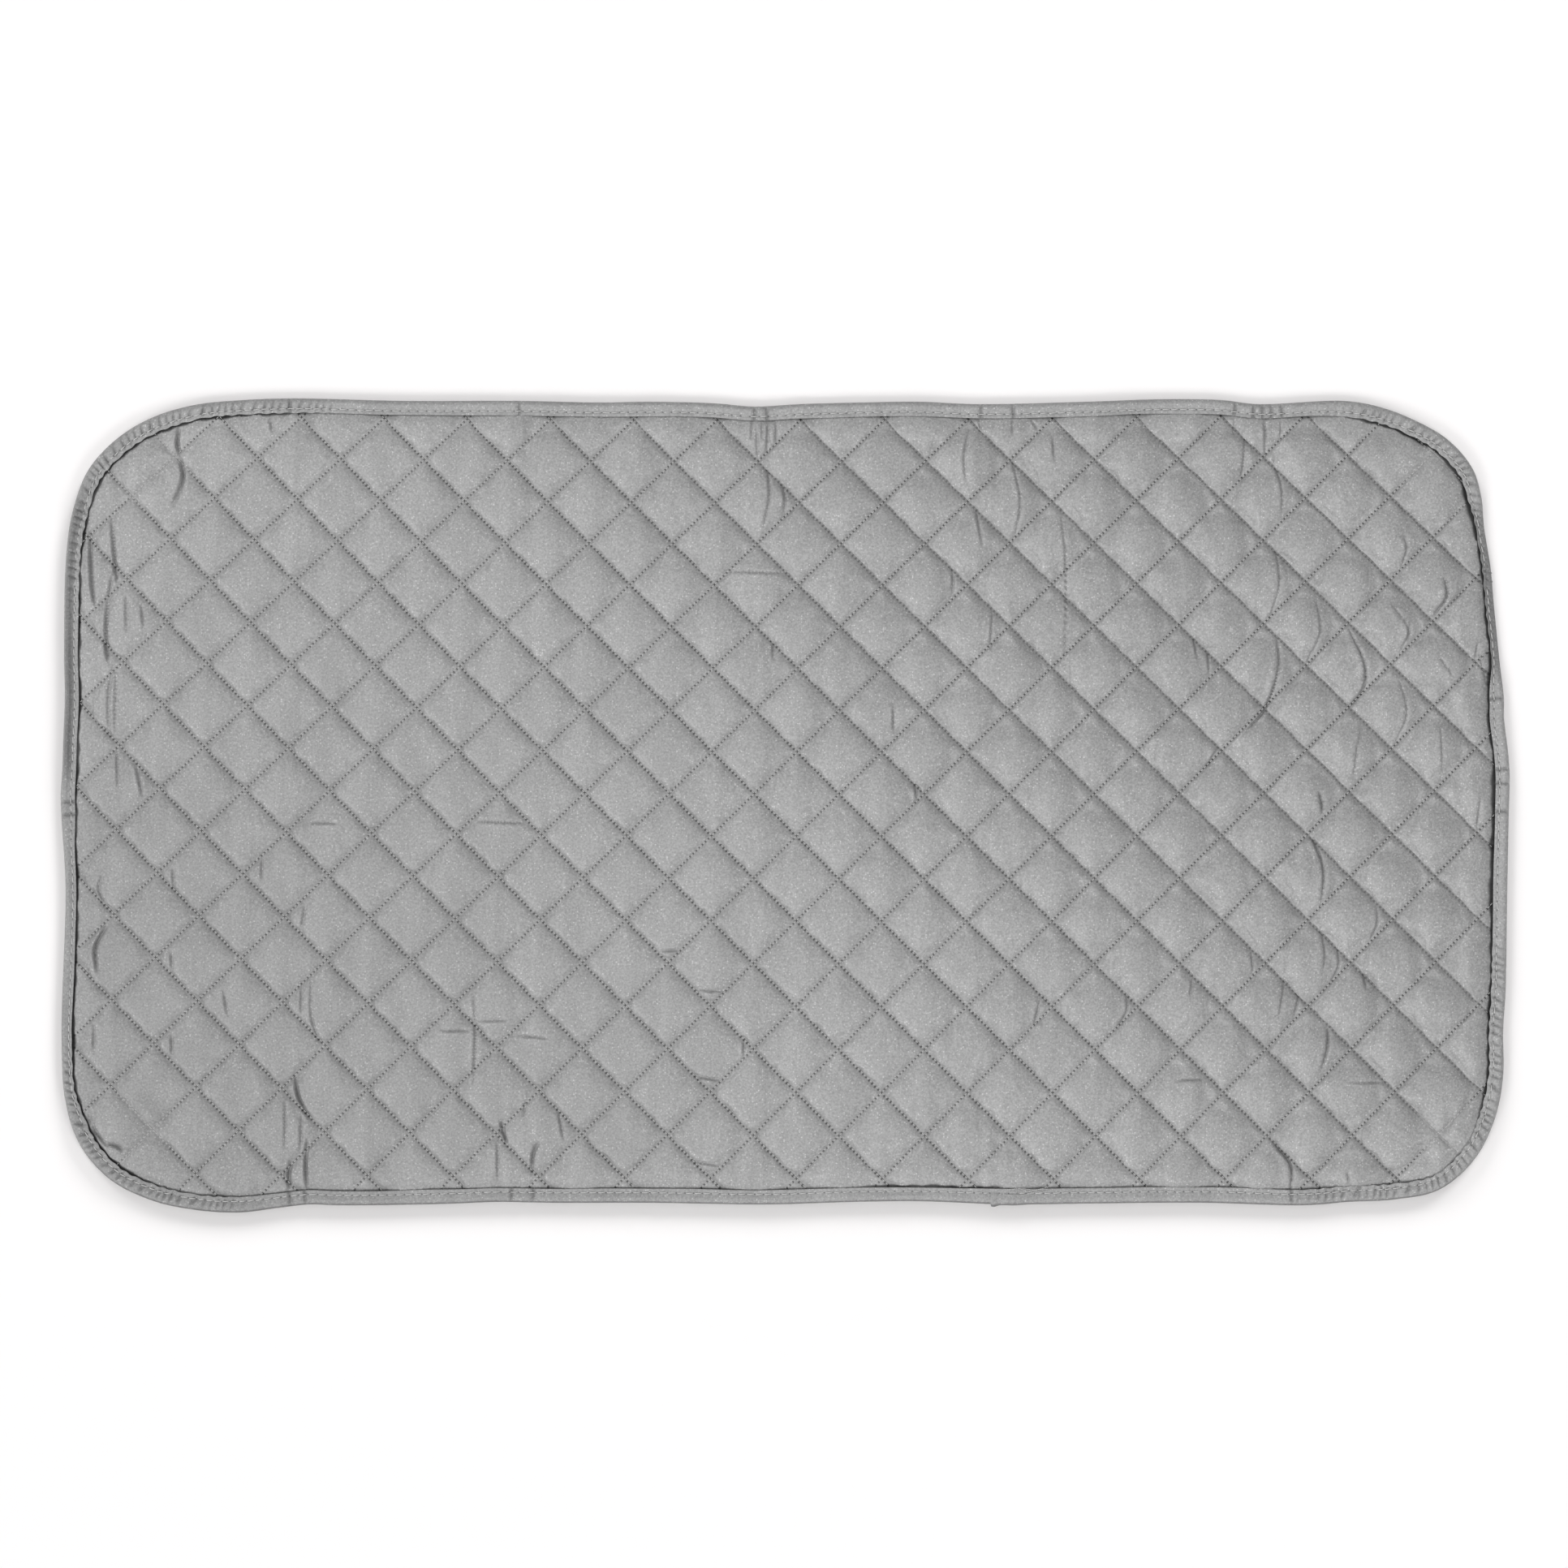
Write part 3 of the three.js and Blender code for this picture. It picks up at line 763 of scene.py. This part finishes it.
def make_binding():
    """The folded tape, gathered at the corners, creased at the folds, and lapped on its join."""
    section = tape_section()
    columns = len(section)
    lines = np.stack([tape_line(*point) for point in section], axis=1)
    lap = round(LAP / rim_step)
    count = RIM_COUNT + 2 * lap + 1
    place = (rim_index(JOIN_PIXEL) - lap + np.arange(count)) % RIM_COUNT
    detail = gathered + creased + rim_span(JOIN_PIXEL, JOIN_PIXEL, fade=25 * MM)
    ring = np.nonzero((detail[place] > 0.02) | (np.arange(count) % 3 == 0))[0]
    strip = lines[place[ring]]
    inset, height = (np.array(section)[None, :, k] for k in range(2))
    upper = upper_side(height)
    past_start = ring[:, None] * rim_step
    past_end = (ring[:, None] - (count - 1)) * rim_step
    over = ease(-2 * LAP - LAP_SLOPE, -2 * LAP, past_end)
    under = 1 - ease(2 * LAP, 2 * LAP + LAP_SLOPE, past_start)
    strip[:, :, 2] += LAP_RISE * (over * upper + under * (1 - upper))
    strip[:, :, 1] -= 0.5 * MM * over * bell(inset, 0, 2 * MM)
    strip[:, :, 1] -= 1.2 * MM * bell(past_end, -1 * MM, 3 * MM) * bell(inset, 0, 2.5 * MM)
    strip[:, :, 0] -= ease(-2 * LAP, 0, past_end) * 0.5 * (inset - TAPE_REACH / 2)
    made = mesh_object("edge_binding_tape", strip.reshape(-1, 3), grid_faces(len(ring), columns))
    keep(
        made,
        run=np.repeat((ring - lap) * rim_step / MM, columns),
        tape_inset=np.tile(inset.ravel() / MM, len(ring)),
        top=np.tile(upper.ravel(), len(ring)),
        # painted shade of the tape's turns, rolls, tilts and folds
        hidden=tape_hidden(place[ring][:, None], inset).ravel(),
    )
    thicken(made, thickness=0.45 * MM)
    shade_smooth(made)
    return made


def binding_stitches():
    """The seam that sews the tape down, and the loose ends of its thread."""
    at = np.linspace(0, RIM_COUNT, SEAM_COUNT, endpoint=False)
    ends = []
    for inset in (SEAM_INSET + SEAM_SLANT, SEAM_INSET - SEAM_SLANT):
        line = np.roll(tape_line(inset, tape_top(inset)), -rim_index(JOIN_PIXEL), axis=0)
        ends.append(np.stack([np.interp(at, np.arange(RIM_COUNT), line[:, k]) for k in range(3)], axis=1))
    starts, stops = [ends[0]], [np.roll(ends[1], -1, axis=0)]
    for stroke in LOOSE_ENDS:
        path = spline(on_pad(stroke), steps=9, closed=False)
        path = np.column_stack([path, np.full(len(path), TAPE_LEVEL + LAP_RISE + LOOSE_THREAD)])
        starts.append(path[:-1])
        stops.append(path[1:])
    sewn = (np.arange(sum(map(len, starts))) < SEAM_COUNT)[:, None]
    return thread_stitches(
        "binding_seam_stitches", np.vstack(starts), np.vstack(stops),
        np.where(sewn, SEAM_THREAD, LOOSE_THREAD), STITCH_SINK * sewn, STITCH_SINK * sewn,
    )


# The layers inside and underneath
WADDING_INSET = 16 * MM
COVER_OVER_WADDING = 0.7 * MM
FELT_INSET = 4 * MM
HOLE_RADIUS = 18.5 * MM
BACKING_LEVEL = 0.02 * MM
LINE_DRAW = 0.25 * MM
TAPE_DRAW = 0.55 * MM


def closed_slab(name, x, y, top, bottom, faces):
    """A closed solid between two heights over the same grid."""
    count = len(x)
    verts = np.vstack([np.column_stack([x, y, top]), np.column_stack([x, y, bottom])])
    sides = set(zip(faces.ravel().tolist(), np.roll(faces, -1, axis=1).ravel().tolist()))
    walls = [(b, a, a + count, b + count) for a, b in sorted(sides) if (b, a) not in sides]
    return mesh_object(name, verts, [*faces.tolist(), *(faces[:, ::-1] + count).tolist(), *walls])


def make_wadding(coarse):
    """The soft filling under the cover's diamonds, clear of its wrinkles."""
    x, y, _, _, inset, faces = quilted_grid(COVER_DIVISIONS // 2, WADDING_INSET)
    tree = flat_tree(coarse)
    over = np.array([min(coarse[k, 2] for _, k, _ in tree.find_n((px, py, 0), 6)) for px, py in zip(x, y)])
    filled = ease(WADDING_INSET, WADDING_INSET + 12 * MM, inset)
    top = over + np.minimum(lie(x, y), 0) - COVER_OVER_WADDING - 1.5 * MM * (1 - filled)
    hollow = 1.3 * DEEP_WRINKLE
    add_wrinkles(top, x, y, DEEP_WRINKLES + SHALLOW_WRINKLES, hollow, width=6 * MM, lip=0)
    top = np.maximum(top, wadding_low.z + 0.1 * MM)
    return closed_slab("wadding_fill", x, y, top, np.full(len(x), wadding_low.z), faces)


def make_felt():
    """The flat felt, smaller than the rim, with a round hole for each magnet."""
    build = bmesh.new()
    rings = [(rim + inward * FELT_INSET)[::16]]
    angles = np.linspace(0, 2 * np.pi, 40, endpoint=False)
    circle = HOLE_RADIUS * np.stack([np.cos(angles), np.sin(angles)], axis=1)
    for node in MAGNET_NODES:
        low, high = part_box(node)
        rings.append(np.array((low + high) / 2)[:2] + circle)
    for ring in rings:
        verts = [build.verts.new((px, py, felt_low.z)) for px, py in ring]
        for k in range(len(verts)):
            build.edges.new((verts[k], verts[k - 1]))
    bmesh.ops.triangle_fill(build, edges=build.edges[:], use_beauty=True, normal=(0, 0, 1))
    raised = bmesh.ops.extrude_face_region(build, geom=build.faces[:], use_keep_orig=True)
    up = [g for g in raised["geom"] if isinstance(g, bmesh.types.BMVert)]
    bmesh.ops.translate(build, verts=up, vec=(0, 0, felt_high.z - felt_low.z))
    bmesh.ops.recalc_face_normals(build, faces=build.faces)
    mesh = bpy.data.meshes.new("heat_felt_layer")
    build.to_mesh(mesh)
    build.free()
    return new_object("heat_felt_layer", mesh)


def make_backing():
    """The flat cloth underneath, drawn up along the stitched lines and at the tape."""
    x, y, fall, rise, inset, faces = quilted_grid(COVER_DIVISIONS // 2, least_inset=3 * MM)
    drawn = LINE_DRAW * (1 - pillow(fall, rise)) ** 3
    drawn += TAPE_DRAW * (1 - ease(TAPE_REACH, TAPE_REACH + 2 * MM, inset))
    made = mesh_object("backing_cloth", np.column_stack([x, y, BACKING_LEVEL + drawn]), faces[:, ::-1])
    thicken(made, thickness=0.4 * MM)
    return made


# Materials
def connect(node, inputs):
    """Links sockets to a node's inputs, or sets values on them."""
    for key, value in dict(inputs).items():
        if isinstance(value, bpy.types.NodeSocket):
            node.id_data.links.new(value, node.inputs[key])
        else:
            node.inputs[key].default_value = value


def add(tree, kind, out=0, inputs=(), **settings):
    """Adds a node with its properties and inputs, and returns one of its outputs."""
    made = tree.nodes.new(kind)
    for key, value in settings.items():
        setattr(made, key, value)
    connect(made, inputs)
    return made.outputs[out]


def maths(operation, *values):
    """A math node on sockets and numbers."""
    tree = next(value.id_data for value in values if isinstance(value, bpy.types.NodeSocket))
    return add(tree, "ShaderNodeMath", inputs=enumerate(values), operation=operation)


def times(first, *others):
    """The product of sockets and numbers."""
    for other in others:
        first = maths("MULTIPLY", first, other)
    return first


def apart(value, middle):
    """How far a value is from a middle, on either side."""
    return maths("ABSOLUTE", maths("SUBTRACT", value, middle))


def between(value, low, high, to_low, to_high):
    """Carries a value's range over to another, clamped, with soft ends."""
    return add(
        value.id_data, "ShaderNodeMapRange", interpolation_type="SMOOTHSTEP",
        inputs={"Value": value, "From Min": low, "From Max": high, "To Min": to_low, "To Max": to_high},
    )


def noise(coords, scale, detail=2.0, roughness=0.5):
    """Smooth noise from 0 to 1."""
    return add(
        coords.id_data, "ShaderNodeTexNoise",
        inputs={"Vector": coords, "Scale": scale, "Detail": detail, "Roughness": roughness},
    )


def new_material(name):
    """A node material, with its tree, its shader and the object's coordinates."""
    made = bpy.data.materials.new(name)
    made.use_nodes = True
    tree = made.node_tree
    shader = tree.nodes["Principled BSDF"]
    return made, tree, shader, add(tree, "ShaderNodeTexCoord", "Object")


def grey(value, warmth=1.0):
    """A grey colour from a value, its blue changed by the warmth."""
    channels = {"Red": value, "Green": value, "Blue": times(value, warmth)}
    return add(value.id_data, "ShaderNodeCombineColor", inputs=channels)


def bump(height, distance, strength):
    """A bumped normal from a height."""
    inputs = {"Height": height, "Distance": distance, "Strength": strength}
    return add(height.id_data, "ShaderNodeBump", inputs=inputs)


def named(tree, name):
    """The number kept at the vertices under a name."""
    return add(tree, "ShaderNodeAttribute", "Fac", attribute_name=name)


def blend(share, first, second):
    """The first number where the share is 0, the second where it is 1."""
    inputs = {"Factor": share, "A": first, "B": second}
    return add(share.id_data, "ShaderNodeMix", data_type="FLOAT", inputs=inputs)


def beside_lines(across):
    """The distance in mm from the nearest line of one set, negative before it."""
    part = maths("SUBTRACT", maths("FRACT", maths("ADD", across, 0.5)), 0.5)
    return times(part, SIDE / MM)


def needle_holes(beside, along, spacing, size, left):
    """The share of the tone left by a seam's painted dark needle holes, by distances beside and along it in
    mm.
    """
    ahead = times(maths("PINGPONG", maths("DIVIDE", along, spacing), 0.5), spacing)
    squares = maths("ADD", maths("POWER", beside, 2.0), maths("POWER", ahead, 2.0))
    hole = between(maths("SQRT", squares), 0.45 * size, size, 1.0, 0.0)
    return blend(hole, 1.0, left)


def falling_shade(fall, rise, full):
    """Painted shade of the falling lines: wide valleys where flat, flanks turned from the light where full.
    """
    beside = beside_lines(fall)
    # Painted shade in the valley, on the flank turned from the light, past the line and on the line
    valley = between(apart(beside, 1.2), 0.8, 4.0, 0.78, 1.0)
    flank = times(between(beside, -5, 0, 1.0, 0.82), between(beside, -14, 0, 1.0, 0.94))
    flank = maths("MAXIMUM", flank, between(beside, 0.0, 0.8, 0.0, 1.0))
    past = between(beside, 1.5, 5.0, 0.95, 1.0)
    line = between(apart(beside, 0.0), 0.3, 1.0, 0.76, 1.0)
    # Painted dark needle holes, paler where the quilting is full
    left = between(full, 0.4, 1.0, 0.18, 0.5)
    holes = needle_holes(beside, times(rise, SIDE / MM), STITCH / MM, 1.0, left)
    return times(blend(full, valley, times(flank, past, line)), holes)


def rising_shade(fall, rise, full):
    """Painted shade of the rising lines: narrow valleys, deeper where the quilting is full."""
    beside = beside_lines(rise)
    deepest = between(full, 0.3, 1.0, 0.96, 0.84)
    # Painted shade in the valley beside the line
    valley = between(apart(beside, 0.6), 0.3, 1.6, deepest, 1.0)
    # Painted dark needle holes, darker where the quilting is full
    left = between(full, 0.4, 1.0, 0.24, 0.15)
    holes = needle_holes(beside, times(fall, SIDE / MM), STITCH / MM, 0.85, left)
    return times(valley, holes)


def cover_shade(tree):
    """Painted shade on the cover: lines, fainter over magnets, wrinkles, beside the right tape, and the
    gap.
    """
    kept = [named(tree, name) for name in ("fall", "rise", "full")]
    faint = times(named(tree, "taut"), 0.7)
    lines = blend(faint, times(falling_shade(*kept), rising_shade(*kept)), 1.0)
    # Painted shade in the wrinkles
    folded = between(named(tree, "pressed"), 0.05, 0.8, 1.0, 0.7)
    # Painted shade beside the tape on the right
    sunk = blend(named(tree, "sunk"), 1.0, 0.78)
    # Painted shadow darkens the real gap between the tape's edge and the sunken cover
    gap = between(named(tree, "beyond_tape"), 0.35, 1.0, 1.0, 0.0)
    gap = times(gap, named(tree, "gaping"))
    return times(lines, folded, sunk, blend(gap, 1.0, 0.1))


def tape_shade(tree):
    """The needle holes of the tape's seam, painted shade in the dent that they lie in, and on its folds."""
    beside = apart(named(tree, "tape_inset"), SEAM_INSET / MM)
    # Painted dark needle holes along the seam
    holes = needle_holes(beside, named(tree, "run"), SEAM_PITCH / MM, 0.6, 0.5)
    # Painted shade in the dent along the seam
    dent = between(beside, 0.2, 0.9, 0.86, 1.0)
    sewn = blend(named(tree, "top"), 1.0, times(dent, holes))
    # Painted shade where the tape turns, rolls, tilts or folds
    return times(sewn, maths("SUBTRACT", 1.0, named(tree, "hidden")))


def silver_cloth(name, tone, shade_of):
    """Coated cotton: dense grey grain, painted glints, painted shade to the front left, and each piece's
    painted shade.
    """
    made, tree, shader, coords = new_material(name)
    grain = noise(coords, 800, 2.0, 0.65)
    drawn = add(tree, "ShaderNodeVectorMath", operation="MULTIPLY", inputs={0: coords, 1: (1.0, 0.25, 1.0)})
    cloud = noise(drawn, 90)
    # Bright flecks: painted glints of the silver coating
    cell = add(tree, "ShaderNodeTexVoronoi", inputs={"Vector": coords, "Scale": 900}).node.outputs
    chosen = add(tree, "ShaderNodeSeparateColor", inputs={"Color": cell["Color"]})
    spot = between(cell["Distance"], 0.15, 0.55, 1.0, 0.0)
    fleck = times(between(chosen, 0.7, 1.0, 0.0, 1.0), spot, 0.24)
    value = between(grain, 0.25, 0.75, tone * 0.76, tone * 1.2)
    value = times(value, between(cloud, 0.3, 0.7, 0.94, 1.06))
    # Painted shade, darker towards the front left
    ends = {0: coords, 1: tuple(cad_box[0])}
    from_corner = add(tree, "ShaderNodeVectorMath", "Value", operation="DISTANCE", inputs=ends)
    front_left_shade = between(from_corner, 0.05, 0.5, 0.87, 1.03)
    value = times(maths("ADD", value, fleck), front_left_shade, shade_of(tree))
    connect(shader, {
        "Base Color": grey(value),
        "Roughness": between(grain, 0.3, 0.7, 0.42, 0.6),
        "Normal": bump(grain, 0.06 * MM, 0.5),
        "Specular IOR Level": 0.35,
        "Sheen Weight": 0.05,
    })
    return made


def fibre(name, tone, warmth, scale, shade_where_full=1.0):
    """Matted fibre or thread: uneven and rough, darkened by painted shade where the quilting is full."""
    made, tree, shader, coords = new_material(name)
    strands = noise(coords, scale, 5.0, 0.65)
    value = between(strands, 0.25, 0.75, tone * 0.75, tone * 1.2)
    # Painted shade where the quilting is full
    if shade_where_full != 1:
        value = times(value, between(named(tree, "full"), 0.3, 1.0, 1.0, shade_where_full))
    connect(shader, {
        "Base Color": grey(value, warmth),
        "Roughness": between(strands, 0.2, 0.8, 0.75, 0.95),
        "Normal": bump(strands, 0.3 * MM, 0.6),
    })
    return made


def plated_steel(name):
    """Nickel-plated magnet metal with fine scratches."""
    made, _, shader, coords = new_material(name)
    scratch = noise(coords, 900, 6.0, 0.7)
    connect(shader, {
        "Base Color": grey(between(scratch, 0.3, 0.7, 0.5, 0.62)),
        "Roughness": between(scratch, 0.3, 0.7, 0.22, 0.4),
        "Metallic": 1.0,
    })
    return made


# The pieces
cover_cloth = silver_cloth("silver_cover_cloth", tone=0.36, shade_of=cover_shade)
tape_cloth = silver_cloth("silver_tape_cloth", tone=0.33, shade_of=tape_shade)
backing_weave = fibre("backing_weave", tone=0.42, warmth=0.97, scale=700)
# The falling thread gets painted shade where the quilting is full
falling_yarn = fibre("falling_yarn", tone=0.48, warmth=0.99, scale=2500, shade_where_full=0.55)
rising_yarn = fibre("rising_yarn", tone=0.48, warmth=0.99, scale=2500)
seam_yarn = fibre("seam_yarn", tone=0.6, warmth=0.99, scale=2500)
wadding_fibre = fibre("wadding_fibre", tone=0.75, warmth=0.98, scale=260)
felt_fibre = fibre("felt_fibre", tone=0.5, warmth=0.96, scale=420)
pocket_weave = fibre("pocket_weave", tone=0.45, warmth=0.97, scale=800)
magnet_metal = plated_steel("magnet_metal")


def dress(made, material, slot, *nodes):
    """Gives a piece its material, and puts it on the body in place of its nodes. The slot is not used."""
    made.data.materials.clear()
    made.data.materials.append(material)
    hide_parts(*nodes)
    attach(made, "root")
    return made


cover_shape, diamonds = make_cover()
cover = dress(cover_shape, cover_cloth, "cover_cloth", "top_cover")
wadding = dress(make_wadding(diamonds), wadding_fibre, "wadding_fibre", "wadding")
felt = dress(make_felt(), felt_fibre, "felt", "heat_felt")
backing = dress(make_backing(), backing_weave, "backing_cloth", "backing")
binding = dress(make_binding(), tape_cloth, "binding_tape", "edge_binding")
dress(quilting_stitches("falling_quilt_stitches", True), falling_yarn, "thread", "falling_quilt_thread")
dress(quilting_stitches("rising_quilt_stitches", False), rising_yarn, "thread", "rising_quilt_thread")
dress(binding_stitches(), seam_yarn, "thread", "binding_seam_thread")
for node in MAGNET_NODES:
    for name, material in ((node, magnet_metal), (node.replace("magnet", "magnet_pocket"), pocket_weave)):
        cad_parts[name].data.materials.clear()
        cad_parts[name].data.materials.append(material)

# The floor, the light and the camera
FLOOR_CORNERS = ((-4, -4), (4, -4), (4, 4), (-4, 4))
FLOOR_LEVEL = -0.2 * MM
FLOOR_COLOUR = (0.905, 0.89, 0.89, 1)
WHITE = (1, 1, 1, 1)
LIGHT_SIDE = Vector((-0.66, -0.66, 0.36)).normalized()
SENSOR_WIDTH = 36

floor = mesh_object("floor", [(x, y, FLOOR_LEVEL) for x, y in FLOOR_CORNERS], [(0, 1, 2, 3)])
floor_paint, _, floor_shader, _ = new_material("floor_paint")
connect(floor_shader, {"Base Color": FLOOR_COLOUR, "Roughness": 0.9, "Specular IOR Level": 0.0})
floor.data.materials.append(floor_paint)

world = bpy.data.worlds.new("studio")
world.use_nodes = True
bpy.context.scene.world = world
sky = world.node_tree
# The sky is white to the camera, and lights the pad more from the light's side
facing = add(
    sky, "ShaderNodeVectorMath", "Value", operation="DOT_PRODUCT",
    inputs={0: add(sky, "ShaderNodeTexCoord", "Generated"), 1: LIGHT_SIDE},
)
glow = maths("MULTIPLY_ADD", facing, 0.15, 0.25)
ray = sky.nodes.new("ShaderNodeLightPath").outputs
seen = maths("MAXIMUM", ray["Is Camera Ray"], ray["Is Glossy Ray"])
seen = maths("MAXIMUM", seen, ray["Is Transmission Ray"])
connect(sky.nodes["Background"], {"Color": WHITE, "Strength": blend(seen, glow, 1.0)})


def soft_lamp(name, place, size, energy):
    """A wide round lamp that looks at the pad."""
    lamp = bpy.data.lights.new(name, "AREA")
    lamp.shape = "DISK"
    lamp.size = size
    lamp.energy = energy
    made = new_object(name, lamp)
    made.location = place
    made.rotation_euler = (-Vector(place)).to_track_quat("-Z", "Y").to_euler()
    return made


# The pad's own lamp stands to the front left. The floor has others, overhead and on four sides, so that the
# soft shadow lies all round the pad and reaches furthest to the front.
pad_lamp = soft_lamp("pad_lamp", (-4.4, -4.4, 14.7), size=22, energy=2800)
floor_lamps = (
    soft_lamp("floor_overhead", (0.0, 0.0, 3.5), size=32, energy=570),
    soft_lamp("floor_back_right", (4.6, 8.0, 3.9), size=3.5, energy=540),
    soft_lamp("floor_back_left", (-4.6, 8.0, 3.9), size=3.5, energy=395),
    soft_lamp("floor_front_right", (5.8, -5.8, 5.7), size=3.5, energy=250),
    soft_lamp("floor_front_left", (-5.8, -5.8, 5.7), size=3.5, energy=250),
)
for lamp in (pad_lamp, *floor_lamps):
    receivers = bpy.data.collections.new(lamp.name + "_receivers")
    receivers.objects.link(floor)
    receivers.collection_objects[0].light_linking.link_state = "EXCLUDE" if lamp == pad_lamp else "INCLUDE"
    lamp.light_linking.receiver_collection = receivers

frame_centre = on_pad((IMAGE_SIDE / 2, IMAGE_SIDE / 2))
eye = bpy.data.cameras.new("camera")
eye.sensor_width = SENSOR_WIDTH
eye.lens = SENSOR_WIDTH * CAMERA_DISTANCE / (IMAGE_SIDE * PIXEL)
camera = new_object("camera", eye)
camera.location = (frame_centre[0], frame_centre[1], CAMERA_DISTANCE + cover_high.z)
bpy.context.scene.camera = camera
bpy.context.scene.view_settings.view_transform = "Standard"
